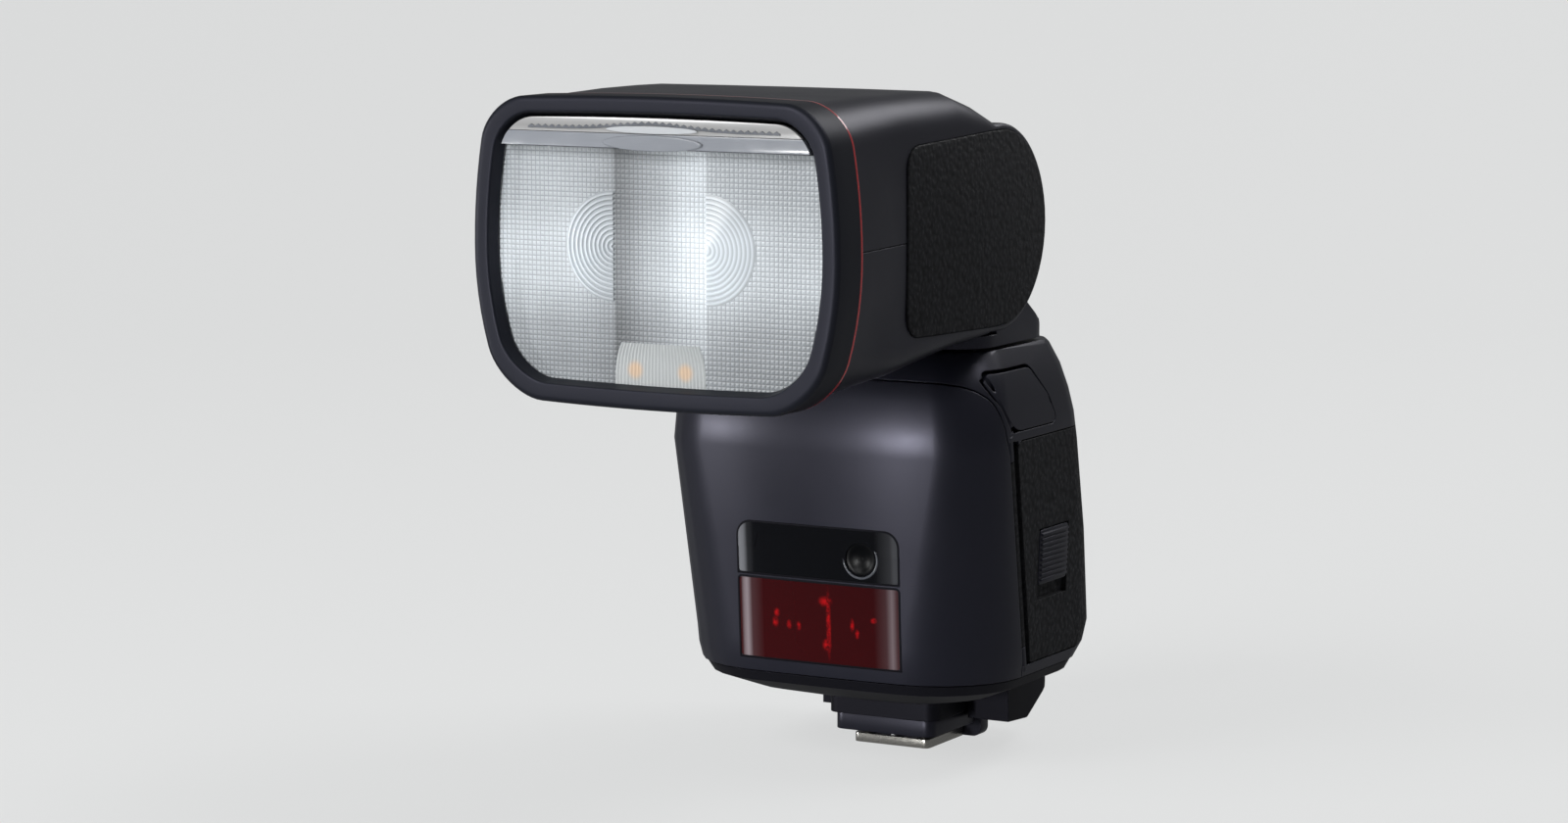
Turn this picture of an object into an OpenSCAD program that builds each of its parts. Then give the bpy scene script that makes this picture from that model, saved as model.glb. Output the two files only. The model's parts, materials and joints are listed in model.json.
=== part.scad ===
// Speedlight flash: a zoom head that tilts on a neck and swivels on a control
// body with a hot-shoe foot. Millimetres, +Z up, the front looks towards -Y.
// Origin: centre of the underside of the metal foot plate.

/* [Shoe foot] */
// Width of the metal foot plate
foot_w = 18.6; // [18:0.1:19.2]
// Length of the metal foot plate, front to back
foot_len = 18; // [16.5:0.5:19]
// Thickness of the foot plate
foot_t = 2; // [1.6:0.1:2.4]
// Height of the groove that takes the rails of the shoe
rail_gap = 1.4; // [1.4:0.1:2]
// Width of the block above the plate
block_w = 24.6; // [22:0.2:25]
// Length of the block above the plate
block_len = 21; // [20:0.5:22]
// Height of the block above the plate
block_h = 3.8; // [3.4:0.1:5]
// Width of the stop behind the plate
stop_w = 26.4; // [25:0.2:29]
// How far the block stands ahead of the plate
block_lead = 4; // [2.5:0.1:4.5]
// How far the stop reaches below the plate
stop_drop = 0.2; // [0:0.1:0.3]
// Thickness of the stop, front to back
stop_t = 3.4; // [2.6:0.2:4]
// How far the sprung contacts stand out of the plate
contact_out = 0.3; // [0.2:0.05:0.5]

/* [Body housing] */
// Width across the shoulders
body_w = 81; // [79:0.5:84]
// How much narrower each side is at the foot of the housing
body_taper = 1.7; // [1:0.1:2.5]
// Front face ahead of the foot centre, at the shoulders
body_front = 44.3; // [43:0.1:46]
// How far the front face falls back at the bottom
front_set = 2.2; // [1.5:0.1:3]
// Bulge of the front face between its corners
front_crown = 1.4; // [0.8:0.1:2]
// Rear edge behind the foot centre, low on the display side
body_rear = 23.5; // [23:0.1:24.5]
// Lean of the display side
rear_lean = 19; // [18:0.1:20]
// Underside of the covers above the foot plate
body_z = 20.9; // [20:0.1:22]
// Top edge of the front cover
cover_top_z = 86; // [85:0.5:87]
// Platform that carries the neck
turret_z = 92; // [91.5:0.1:93]
// Width of the platform
turret_w = 70; // [68:0.5:72]
// Front edge of the platform ahead of the foot centre
turret_front = 39; // [38:0.2:40]
// Rear edge of the platform behind the foot centre
turret_rear = 5; // [4.4:0.2:5.6]
// Wall of the covers
wall = 2; // [1.6:0.1:2.4]
// Gap at the seams between covers
seam = 0.3; // [0.2:0.05:0.4]
// Lean of the seam between front cover and side
parting_lean = 12.4; // [12:0.1:13]
// That seam ahead of the foot centre, at the underside
parting_y = 20.9; // [20:0.1:21.5]

/* [Front windows] */
// Width of both windows
window_w = 39; // [36:0.5:41]
// Height of the red focus-aid window
af_window_h = 17.6; // [16:0.2:19]
// Height of the dark sensor window
sensor_window_h = 9; // [9:0.2:11]
// Underside of the windows
window_z = 24; // [24:0.2:25]
// Bar between the windows
window_bar = 1; // [0.6:0.1:1.6]
// Radius of the round sensor lens
sensor_r = 3.5; // [2.8:0.1:3.7]

/* [Rear controls] */
// Width of the display window
lcd_w = 50; // [46:1:51]
// Height of the display window
lcd_h = 24; // [20:0.5:25]
// Radius of the select dial
dial_r = 7.6; // [7:0.1:8]
// Radius of the set button in the dial
set_r = 4; // [3:0.1:4.5]
// Height of the dial above the display side
dial_h = 2.6; // [2:0.1:3]
// Diameter of the round keys
key_d = 6; // [5:0.1:7]
// Height of keys above the display side
key_h = 1; // [0.8:0.1:1.4]

/* [Battery door and terminals] */
// Top edge of the battery door
door_top_z = 72.8; // [71:0.2:73.2]
// Lower edge of the battery door
door_low_z = 23.6; // [23.6:0.2:25]
// Radius of the hinge barrel of the door
hinge_r = 1.3; // [1.2:0.05:1.4]
// Radius of the hinge pin of the door
hinge_pin_r = 0.6; // [0.5:0.05:0.7]
// Thickness of the door
door_t = 2; // [1.6:0.1:2.2]
// Width of the sliding latch
latch_w = 14; // [12:0.5:15]
// Height of the sliding latch
latch_h = 12; // [10:0.5:13]
// Travel of the latch
latch_travel = 3; // [2:0.2:3.4]
// Thickness of the terminal cover
flap_t = 1.6; // [1.2:0.1:1.8]
// Depth of the terminal bay behind its cover
bay_depth = 10.6; // [10.4:0.2:12]

/* [Neck] */
// Tilt axis above the platform
neck_rise = 27; // [26.8:0.1:28]
// Tilt axis ahead of the swivel axis
tilt_lead = 18.5; // [18:0.1:19]
// Radius of the head's barrel round the tilt axis
barrel_r = 21.8; // [21:0.1:22]
// Width of the drum between the two cheeks
drum_w = 29; // [26:0.5:31]
// Radius of the tilt shaft
shaft_r = 5; // [4.5:0.1:5.5]
// Gap between neck and platform
neck_gap = 0.8; // [0.6:0.1:1]
// Radius of the swivel spindle
spindle_r = 12; // [11:0.5:13]

/* [Head] */
// Width of the bezel at half height
head_w = 84.4; // [83:0.2:86]
// Height of the bezel
head_h = 62.6; // [61.6:0.2:63.6]
// Front of the bezel ahead of the tilt axis
head_reach = 75.4; // [74:0.2:78]
// Depth of the bezel
bezel_d = 9.4; // [9:0.2:10]
// Bulge of each side of the bezel
side_bulge = 3.6; // [3:0.1:4]
// How much narrower each side is at the lower corners of the bezel
bezel_taper = 3; // [2:0.1:3.4]
// How far each cheek lies inside the bezel
cheek_in = 2.2; // [1.8:0.1:2.8]
// Width of the bezel's rim round the lens opening
bezel_edge = 4.4; // [4:0.1:5]
// Thickness of the accent ring behind the bezel
ring_t = 0.8; // [0.6:0.1:1]
// Thickness of the front lens
lens_t = 2; // [1.8:0.1:2.4]
// Thickness of the side grip pads
pad_t = 0.9; // [0.7:0.1:1.1]
// How far the pads stand out of the cheeks
pad_proud = 0.35; // [0.2:0.05:0.5]
// Room beside the pull-out panels in the lens opening
panel_side = 4.8; // [4.6:0.1:6]
// Thickness of each pull-out panel
panel_t = 1.4; // [1.2:0.1:1.6]
// Room behind the pull-out panels in the head
panel_room = 6.3; // [4:0.1:10]
// Travel of the zoom carriage
zoom_travel = 15; // [12:0.5:16]
// Radius of the flash tube
tube_r = 2.2; // [1.8:0.1:2.5]
// Radius of the release button on the left cheek
release_r = 6.5; // [6:0.1:7]

/* [Hidden] */
$fn = 48;

// Fits shared by several pieces
running = 0.08;
close = 0.05;
free = 0.3;

// Foot levels
groove_z = foot_t + rail_gap;
block_top = groove_z + block_h;
web_w = foot_w - 3.4;
web_t = 1.1;
pad_w = web_w - 2 * web_t - 0.3;
pad_len = foot_len - 7;
contact_r = 0.9;
contact_places = [[0, 0], [-3.6, 3.8], [3.6, 3.8], [-3.6, -3.2], [3.6, -3.2]];
lock_pin_r = 0.9;
lock_pin_y = -foot_len / 2 + 1.9;

// Body levels and half widths
low_z = body_z + 7.1;
shoulder_z = cover_top_z - 16;
body_hw = body_w / 2;
low_hw = body_hw - body_taper;
turret_hw = turret_w / 2;
low_front = body_front - front_set;
side_taper = atan2(body_taper, shoulder_z - low_z);
corner_steps = 6;
turret_edge = 0.8;
inner_floor = body_z + wall;
frame_t = 2.1;
frame_top = inner_floor + frame_t;

// Axes of the neck
swivel_y = (turret_rear - turret_front) / 2;
tilt_y = swivel_y - tilt_lead;
tilt_z = turret_z + neck_rise;
neck_z = turret_z + neck_gap;
drum_r = barrel_r - 0.5;
cheek_gap = 0.7;
cradle_gap = 0.6;

// Head levels
head_y = tilt_y - head_reach;
ring_y = head_y + bezel_d;
head_mid = tilt_z - 1.3;
opening_mid = head_mid + 0.3;
opening_w = head_w - 2 * bezel_edge;
opening_h = head_h - 2 * bezel_edge;
bezel_hw = head_w / 2;
cheek_hw = bezel_hw - cheek_in;
cheek_w = 2 * cheek_hw;
lip_t = 3.2;
lens_y = head_y + lip_t;
cavity_back = tilt_y - barrel_r - 2.4;
opening_top = opening_mid + opening_h / 2;
panel_gap = 0.3;
shelf_t = 0.4;
catch_z = opening_top - 1.3 - panel_t;
wide_z = catch_z - panel_t - 2 * panel_gap - shelf_t;
tray_t = 1.2;
tray_z = wide_z - tray_t - panel_gap;
panel_w = opening_w - 2 * panel_side;
lip_y = head_y + 0.9;
lip_d = 1.5;
panel_len = cavity_back - lip_y - panel_room;

function mix(a, b, t) = a + (b - a) * t;
function unit(v) = v / norm(v);
function arc(c, r, a0, a1, n) = [for (i = [0:n]) c + r * [cos(mix(a0, a1, i / n)), sin(mix(a0, a1, i / n))]];

// One rounded corner b between neighbours a and c
function fillet(a, b, c, r, n) =
    let (u = unit(a - b), v = unit(c - b), half = acos(u * v) / 2)
    let (m = b + unit(u + v) * r / sin(half), s = b + u * r / tan(half) - m, e = b + v * r / tan(half) - m)
    let (a0 = atan2(s.y, s.x), turn = (atan2(e.y, e.x) - a0 + 540) % 360 - 180)
    arc(m, r, a0, a0 + turn, n);

// Outline with a radius at each corner, sharp where the radius is 0
function rounded(pts, radii, n = corner_steps) =
    let (k = len(pts))
    [for (i = [0:k - 1])
        each radii[i] > 0 ? fillet(pts[(i + k - 1) % k], pts[i], pts[(i + 1) % k], radii[i], n) : [pts[i]]];

function box_points(x0, y0, x1, y1) = [[x0, y0], [x1, y0], [x1, y1], [x0, y1]];
function rounded_box(x0, y0, x1, y1, r) = rounded(box_points(x0, y0, x1, y1), [r, r, r, r]);

// Body section: half width, front and rear distance, front and rear corner radius
function body_outline(s) =
    let (hw = s[1], f = -s[2], b = s[3], rf = s[4], rr = s[5], mid = (f + b) / 2)
    let (ring = concat(
        arc([hw - rf, f + rf], rf, -90, 0, corner_steps),
        arc([hw - rr, b - rr], rr, 0, 90, corner_steps),
        arc([rr - hw, b - rr], rr, 90, 180, corner_steps),
        arc([rf - hw, f + rf], rf, 180, 270, corner_steps),
        [for (k = [-1:1]) [k * (hw - rf) / 2, f]]))
    [for (p = ring)
        [p.x, p.y + (p.y < mid ? front_crown * pow(p.x / hw, 2) * (mid - p.y) / (mid - f) : 0), s[0]]];

function rear_y(z) = body_rear - (z - low_z) * tan(rear_lean);

// Levels of the body housing, drawn in by the wall for its inside
function body_levels(inset) =
    let (low = [for (t = [0, 0.45, 1])
        [mix(body_z + inset, low_z, t), low_hw - 0.9 * pow(1 - t, 2), low_front - 0.8 * pow(1 - t, 2),
            body_rear - 7.5 * pow(1 - t, 1.6), 19, 14 + 3 * t]])
    let (side = [for (t = [0.5, 1]) let (z = mix(low_z, shoulder_z, t))
        [z, mix(low_hw, body_hw, t), mix(low_front, body_front, t), rear_y(z), mix(19, 12.5, t),
            t == 1 ? 10.5 : 12.5]])
    let (top = [for (u = [0.28, 0.52, 0.76, 1]) let (z = mix(shoulder_z, turret_z, u))
        [z - (u == 1 ? turret_edge + inset : 0), mix(body_hw, turret_hw, u * u),
            mix(body_front, turret_front, u * u), mix(rear_y(shoulder_z), turret_rear, u), 12.5,
            mix(10.5, 9, u)]])
    let (rim = [[turret_z - inset, turret_hw - turret_edge, turret_front - turret_edge,
        turret_rear - turret_edge, 12.5 - turret_edge, 9 - turret_edge]])
    [for (s = concat(low, side, top, rim))
        [s[0], s[1] - inset, s[2] - inset, s[3] - inset, s[4] - inset, s[5] - inset]];

// Half width of the housing at a height, along the straight side
function side_x(z) = lookup(z, [for (s = body_levels(0)) [s[0], s[1]]]);
function parting_at(z) = -parting_y - (z - body_z) * tan(parting_lean);

// Skin through stacked outlines with equal point counts
module loft(rings) {
    n = len(rings[0]);
    m = len(rings);
    sides = [for (i = [0:m - 2], j = [0:n - 1]) let (a = i * n + j, b = i * n + (j + 1) % n)
        each [[a, a + n, b + n], [a, b + n, b]]];
    caps = [[for (j = [0:n - 1]) j], [for (j = [n - 1:-1:0]) (m - 1) * n + j]];
    polyhedron([for (r = rings) each r], concat(sides, caps));
}

module body_solid(inset = 0) {
    loft([for (s = body_levels(inset)) body_outline(s)]);
}

module body_shell() {
    difference() {
        body_solid();
        body_solid(wall);
    }
}

// Draw an outline in Y and Z, and give it width from x0 to x1
module across(x0, x1) {
    translate([x0, 0, 0]) rotate([90, 0, 90]) linear_extrude(x1 - x0) children();
}

// Draw an outline in X and Z, and give it depth from y0 to y1
module along(y0, y1) {
    translate([0, y1, 0]) rotate([90, 0, 0]) linear_extrude(y1 - y0) children();
}

// Round bar along X
module cross_bar(x0, x1, r) {
    translate([x0, 0, 0]) rotate([0, 90, 0]) cylinder(r = r, h = x1 - x0);
}

// Place on the display side: local x across, y down the face, z out of it
module on_rear(down) {
    z = shoulder_z - down * cos(rear_lean);
    translate([0, rear_y(z), z]) rotate([rear_lean - 90, 0, 0]) children();
}

// Place on the right side: local x down, y to the rear, z out of it
module on_side(y, z) {
    translate([side_x(z), y, z]) rotate([0, 90 + side_taper, 0]) children();
}

// Side view of what belongs to the front cover, grown by a gap
function front_region(gap) =
    rounded([[-body_w, 0], [parting_at(0) + gap, 0],
        [parting_at(cover_top_z) + gap, cover_top_z + gap], [-body_w, cover_top_z + gap]], [0, 0, 9, 0]);

// Windows in the front cover
sensor_z = window_z + af_window_h + window_bar;
sensor_x = window_w / 2 - 9;
sensor_mid = sensor_z + sensor_window_h / 2 + 0.4;
function af_outline(g) =
    rounded_box(-window_w / 2 - g, window_z - g, window_w / 2 + g, window_z + af_window_h + g, 0.9);
function sensor_outline(g) =
    rounded(box_points(-window_w / 2 - g, sensor_z - g, window_w / 2 + g, sensor_z + sensor_window_h + g),
        [0.9, 0.9, 3.5, 3.5]);
function front_at(z) = -lookup(z, [for (s = body_levels(0)) [s[0], s[2]]]);

module front_cover() {
    color("#1d1e23")
    difference() {
        intersection() {
            body_shell();
            across(-body_w, body_w) polygon(front_region(0));
        }
        along(-body_w, swivel_y) polygon(af_outline(0));
        along(-body_w, swivel_y) polygon(sensor_outline(0));
    }
}

module sensor_window() {
    color("#0a0b10")
    difference() {
        intersection() {
            body_shell();
            along(-body_w, swivel_y) polygon(sensor_outline(-close));
        }
        translate([sensor_x, 0, sensor_mid]) rotate([90, 0, 0]) cylinder(r = sensor_r, h = body_w);
    }
}

// Dished glass of the sensor, on a short barrel
module sensor_lens() {
    depth = 6;
    dish_r = 7;
    color("#15161c")
    translate([sensor_x, front_at(sensor_mid) + front_crown / 4, sensor_mid])
    rotate([-90, 0, 0])
    difference() {
        cylinder(r = sensor_r - close, h = depth);
        translate([0, 0, -dish_r + 0.7]) sphere(r = dish_r);
    }
}

module af_window() {
    color("#5a0a0c")
    intersection() {
        body_shell();
        along(-body_w, swivel_y) polygon(af_outline(-close));
    }
}

// Emitter board behind the red window: a divider and a row of lamp domes
module af_emitter() {
    board_y = -low_front + wall + 7;
    board_t = 1.2;
    lamp_r = 1.9;
    top = window_z + af_window_h - 1;
    color("#7c1a1a")
    union() {
        along(board_y, board_y + board_t)
            polygon(box_points(-window_w / 2 + 3, frame_top, window_w / 2 - 3, top));
        along(board_y - 3.4, board_y) polygon(box_points(0.5, frame_top, 1.7, top));
        for (x = [-11, -4.5, 9])
            translate([x, board_y, mix(window_z, top, 0.55)]) rotate([90, 0, 0]) {
                cylinder(r = lamp_r, h = 2);
                translate([0, 0, 2]) sphere(r = lamp_r);
            }
    }
}

// Openings in the display side
lcd_down = lcd_h / 2 + 1.5;
dial_down = lcd_h + 12.5;
key_x = 14;
key_down = dial_down - 5;
side_key_x = 17.5;
side_key_down = dial_down + 3.6;
hub_r = set_r + 1.2;
key_travel = 0.7;
switch_w = 7;
switch_h = 4.4;
switch_travel = 4;
test_w = 8;
test_h = 5;
face_depth = wall * 2;
function lcd_outline(g) = rounded_box(-lcd_w / 2 - g, -lcd_h / 2 - g, lcd_w / 2 + g, lcd_h / 2 + g, 2);
function test_outline(g) = rounded_box(-test_w / 2 - g, -test_h / 2 - g, test_w / 2 + g, test_h / 2 + g, 1);

module rear_openings() {
    on_rear(lcd_down) translate([0, 0, -face_depth]) linear_extrude(face_depth * 2) polygon(lcd_outline(0));
    on_rear(dial_down) translate([0, 0, -face_depth]) cylinder(r = hub_r + running, h = face_depth * 2);
    for (side = [-1, 1])
        on_rear(key_down) translate([side * key_x, 0, -face_depth])
            cylinder(d = key_d + 2 * free, h = face_depth * 2);
    on_rear(side_key_down) translate([side_key_x, 0, -face_depth])
        linear_extrude(face_depth * 2) polygon(test_outline(free));
    on_rear(side_key_down) translate([-side_key_x, 0, -face_depth]) linear_extrude(face_depth * 2)
        polygon(box_points(-switch_w / 2 - free, -switch_h / 2 - free,
            switch_w / 2 + switch_travel + free, switch_h / 2 + free));
}

// Battery door: its outline seen from the side, and the axis of its hinge
hinge_back = seam + hinge_r + 0.25;
door_back = hinge_r + 0.6;
knuckle_len = 4;
function hinge_at(z) = [side_x(z) - hinge_r, parting_at(z) + hinge_back, z];
function door_outline() =
    rounded([[parting_at(door_low_z) + hinge_back + door_back, door_low_z], [body_rear - 15, door_low_z],
        [rear_y(low_z + 4) - 8.5, low_z + 4], [rear_y(door_top_z) - 5.5, door_top_z],
        [parting_at(door_top_z) + hinge_back + door_back, door_top_z]], [1, 6, 6, 1.5, 2.5]);
// Strip from the parting line to the door that the hinge barrel fills
function hinge_trough() =
    let (low = door_low_z - seam, high = door_top_z + seam, deep = hinge_back + door_back + 1)
    [[parting_at(low), low], [parting_at(low) + deep, low],
        [parting_at(high) + deep, high], [parting_at(high), high]];
hinge_low = hinge_at(door_low_z);
hinge_high = hinge_at(door_top_z);
hinge_run = hinge_high - hinge_low;
hinge_len = norm(hinge_run);

// Local z runs up the hinge axis, local -x to the rear
module on_hinge(from, run) {
    translate(from) rotate([0, acos(run.z / norm(run)), atan2(run.y, run.x)]) children();
}

// Terminal cover: outline from the side, and the axis of its hinge near the front edge
flap_low = door_top_z + 2.4;
flap_high = cover_top_z + 1.5;
flap_x = turret_hw - 6;
flap_lean = 0.42;
flap_pin_r = 0.5;
flap_r = 1.2;
flap_room = flap_r + 0.6;
flap_rise = 0.45;
function flap_hinge(z) = parting_at(flap_low) + 3.7 - (z - flap_low) * flap_lean;
function flap_outline(rise = 0, corner = 6) =
    let (high = flap_high + rise, rear = rear_y(flap_low))
    rounded([[flap_hinge(flap_low) - 0.5, flap_low], [rear - 15.8, flap_low], [rear - 18, flap_low + 5.8],
        [rear - 23.5, high], [flap_hinge(high) - 0.5, high]], [corner, 1.5, 8, 2.5, 1.5]);
function flap_axis(z) = [side_x(z) - flap_t / 2, flap_hinge(z), z];
flap_from = flap_axis(flap_low - 1.2);
flap_run = flap_axis(flap_high + 1.2) - flap_from;
flap_end = 2.4;

// Space that the terminal cover and its barrel turn in
module flap_opening(from) {
    across(from, body_w) offset(delta = free) polygon(flap_outline(flap_rise, 0.8));
    on_hinge(flap_from, flap_run) translate([0, 0, flap_end - 0.8])
        cylinder(r = flap_room, h = norm(flap_run) - 2 * flap_end + 1.6);
}

module rear_cover() {
    color("#1b1c20")
    difference() {
        union() {
            difference() {
                body_shell();
                across(-body_w, body_w) polygon(front_region(seam));
                across(flap_x, body_w) offset(delta = seam) polygon(door_outline());
                across(flap_x, body_w) polygon(hinge_trough());
                on_hinge(hinge_low, hinge_run) translate([0, 0, -seam])
                    cylinder(r = hinge_r + 0.4, h = hinge_len + 2 * seam);
                flap_opening(flap_x);
                rear_openings();
                translate([0, swivel_y, turret_z - 2 * wall]) cylinder(r = spindle_r + running, h = 3 * wall);
            }
            for (s = [-1.5, hinge_len - knuckle_len])
                on_hinge(hinge_low, hinge_run) translate([0, 0, s])
                    cylinder(r = hinge_r, h = knuckle_len + 1.5);
        }
        on_hinge(hinge_low, hinge_run) translate([0, 0, -1])
            cylinder(r = hinge_pin_r + 0.02, h = hinge_len + 2);
        on_hinge(flap_from, flap_run) cylinder(r = flap_pin_r + 0.02, h = norm(flap_run));
    }
}

module battery_door() {
    color("#17181b")
    difference() {
        union() {
            intersection() {
                difference() {
                    body_solid();
                    body_solid(door_t);
                }
                across(flap_x, body_w) polygon(door_outline());
            }
            on_hinge(hinge_low, hinge_run) translate([0, 0, knuckle_len + free]) {
                cylinder(r = hinge_r, h = hinge_len - 2 * knuckle_len - 2 * free);
                translate([-door_back - 0.8, -0.6, 0])
                    cube([door_back + 0.8, 1.4, hinge_len - 2 * knuckle_len - 2 * free]);
            }
        }
        on_hinge(hinge_low, hinge_run) cylinder(r = hinge_pin_r + running, h = hinge_len);
        on_side(latch_y, latch_z) translate([-latch_h / 2 - free, -latch_w / 2 - free, -latch_bed])
            cube([latch_h + latch_travel + 2 * free, latch_w + 2 * free, door_t]);
    }
}

module door_hinge_pin() {
    color("#b9bcc0")
    on_hinge(hinge_low, hinge_run) translate([0, 0, -1]) cylinder(r = hinge_pin_r, h = hinge_len + 2);
}

// Ribbed thumb slide that holds the door shut
latch_rise = 18.2;
latch_in = 26;
latch_y = rear_y(low_z + latch_rise) - latch_in;
latch_z = low_z + latch_rise;
latch_bed = 1.1;
latch_ribs = 10;

module door_latch() {
    rib = 0.45;
    pitch = (latch_h - 1) / latch_ribs;
    color("#141518")
    on_side(latch_y, latch_z) translate([0, 0, -latch_bed + 0.1])
    union() {
        linear_extrude(latch_bed)
            polygon(rounded_box(-latch_h / 2, -latch_w / 2, latch_h / 2, latch_w / 2, 1.2));
        for (i = [0:latch_ribs - 1])
            translate([-latch_h / 2 + 0.5 + (i + 0.25) * pitch, -latch_w / 2 + 0.6, latch_bed - 0.01])
                cube([pitch * 0.5, latch_w - 1.2, rib]);
    }
}

module terminal_cover() {
    color("#1f2025")
    difference() {
        union() {
            intersection() {
                difference() {
                    body_solid();
                    body_solid(flap_t);
                }
                across(flap_x, body_w) polygon(flap_outline());
            }
            intersection() {
                body_solid();
                on_hinge(flap_from, flap_run) translate([0, 0, flap_end])
                    cylinder(r = flap_r, h = norm(flap_run) - 2 * flap_end);
            }
        }
        on_hinge(flap_from, flap_run) cylinder(r = flap_pin_r + running, h = norm(flap_run));
        // Finger scoop at the rear edge
        translate([side_x(flap_low + 6) + 2.4, rear_y(flap_low) - 15.6, flap_low + 6]) sphere(r = 3.4);
    }
}

module terminal_hinge_pin() {
    color("#b9bcc0")
    on_hinge(flap_from, flap_run) cylinder(r = flap_pin_r, h = norm(flap_run));
}

// Moulded tray behind the terminal cover
bay_x = turret_hw + 2.6 - bay_depth;
bay_floor = 1.2;
socket_z = mix(flap_low, flap_high, 0.4);
sync_y = flap_hinge(flap_low) + 6;
power_y = sync_y + 7.4;

module terminal_bay() {
    color("#232428")
    intersection() {
        difference() {
            across(bay_x, body_w) offset(delta = 1.5) polygon(flap_outline(flap_rise));
            flap_opening(bay_x + bay_floor);
        }
        body_solid(wall + 0.02);
    }
}

module sync_socket() {
    color("#c8c9cb")
    translate([0, sync_y, socket_z])
    difference() {
        cross_bar(bay_x + bay_floor, bay_x + bay_floor + 3.6, 2.6);
        cross_bar(bay_x + bay_floor + 1, bay_x + bay_floor + 4, 1.7);
    }
}

module power_socket() {
    color("#2c2d31")
    difference() {
        across(bay_x + bay_floor, bay_x + bay_floor + 3.6)
            polygon(rounded_box(power_y - 2.8, socket_z - 3.2, power_y + 2.8, socket_z + 3.2, 1));
        for (k = [-1:1])
            translate([0, power_y, socket_z + 1.9 * k])
                cross_bar(bay_x + bay_floor + 1, bay_x + bay_floor + 4, 0.7);
    }
}

module lcd_window() {
    color("#26292c")
    on_rear(lcd_down) translate([0, 0, -lcd_t]) linear_extrude(lcd_t - 0.15) polygon(lcd_outline(-close));
}

// Display and board behind the window
lcd_t = wall * cos(rear_lean);
module_depth = 5;
board_t = 1.6;

module lcd_module() {
    color("#8f9a86")
    on_rear(lcd_down) translate([0, 0, -module_depth])
        linear_extrude(module_depth - lcd_t - close) polygon(lcd_outline(0.8));
}

module control_board() {
    half = lcd_w / 2 + 2;
    color("#1f5a3a")
    on_rear(0) translate([0, 0, -module_depth - board_t])
    difference() {
        linear_extrude(board_t) polygon(rounded_box(-half, 2, half, dial_down + 6.5, 1.5));
        for (side = [-1, 1])
            translate([side * (half - 3), 4.6, -1]) cylinder(r = 1.1, h = board_t + 2);
    }
}

// Turning dial on a hub, notched round its rim
module select_dial() {
    notches = 20;
    lift = 0.25;
    color("#1c1d21")
    on_rear(dial_down)
    difference() {
        union() {
            translate([0, 0, lift]) cylinder(r = dial_r, h = dial_h - lift);
            translate([0, 0, -3.2]) cylinder(r = hub_r, h = 3.2 + dial_h);
        }
        translate([0, 0, -face_depth]) cylinder(r = set_r + running, h = face_depth * 3);
        for (i = [0:notches - 1])
            rotate(i * 360 / notches) translate([dial_r + 0.25, 0, lift - 1])
                cylinder(r = 0.6, h = dial_h + 2);
    }
}

module set_button() {
    dish_r = 14;
    color("#24252a")
    on_rear(dial_down)
    difference() {
        translate([0, 0, -3.8]) cylinder(r = set_r, h = 3.8 + dial_h + key_travel);
        translate([0, 0, dial_h + key_travel + dish_r - 0.4]) sphere(r = dish_r);
    }
}

module round_key(side) {
    color("#24252a")
    on_rear(key_down) translate([side * key_x, 0, -3.8])
    union() {
        cylinder(d = key_d, h = 3.8 + key_h - 0.4);
        translate([0, 0, 3.8 + key_h - 0.41]) cylinder(d1 = key_d, d2 = key_d - 0.9, h = 0.41);
    }
}

module left_key() {
    round_key(1);
}

module right_key() {
    round_key(-1);
}

module test_button() {
    color("#b9a890")
    on_rear(side_key_down) translate([side_key_x, 0, -3.8])
        linear_extrude(3.8 + key_h) polygon(test_outline(0));
}

module power_switch() {
    color("#2a2b30")
    on_rear(side_key_down) translate([-side_key_x, 0, -3])
    union() {
        linear_extrude(3 + key_h)
            polygon(rounded_box(-switch_w / 2, -switch_h / 2, switch_w / 2, switch_h / 2, 0.8));
        for (k = [-1:1])
            translate([k * 1.7 - 0.35, -switch_h / 2 + 0.6, 3 + key_h - 0.01])
                cube([0.7, switch_h - 1.2, 0.4]);
    }
}

// Frame on the floor of the housing: plate, capacitor ring
power_board_x = low_hw - wall - 3;
pack_w = 35;
pack_inset = 4;
pack_x = low_hw - pack_inset - pack_w;
bay_t = 1.2;
// Room beside the can, towards the board and towards the battery
cap_board_gap = 1.3;
cap_bay_gap = 2.9;
cap_r = (power_board_x - board_t + pack_x - bay_t - cap_board_gap - cap_bay_gap) / 2;
cap_x = board_t - power_board_x + cap_board_gap + cap_r;
cap_y = -17.5;

module inner_frame() {
    plate = [for (p = body_outline(body_levels(wall + free)[0])) [p.x, p.y]];
    ring_h = 5;
    color("#33353a")
    union() {
        translate([0, 0, inner_floor]) linear_extrude(frame_t) polygon(plate);
        translate([cap_x, cap_y, frame_top - 0.01])
        difference() {
            cylinder(r = cap_r + 1.3, h = ring_h);
            translate([0, 0, -1]) cylinder(r = cap_r + close, h = ring_h + 2);
        }
    }
}

module main_capacitor() {
    round_r = 1.2;
    tall = cover_top_z - 9 - frame_top;
    color("#23283a")
    translate([cap_x, cap_y, frame_top])
    rotate_extrude()
        polygon(concat([[0, 0], [cap_r, 0]],
            arc([cap_r - round_r, tall - round_r], round_r, 0, 90, 6), [[0, tall]]));
}

// Battery compartment: a leaning sleeve, open towards the door
pack_t = 20;
pack_h = 40;
pack_lean = 16;
pack_y = -8;

module on_pack() {
    translate([pack_x, pack_y, frame_top]) rotate([pack_lean, 0, 0]) children();
}

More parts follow.
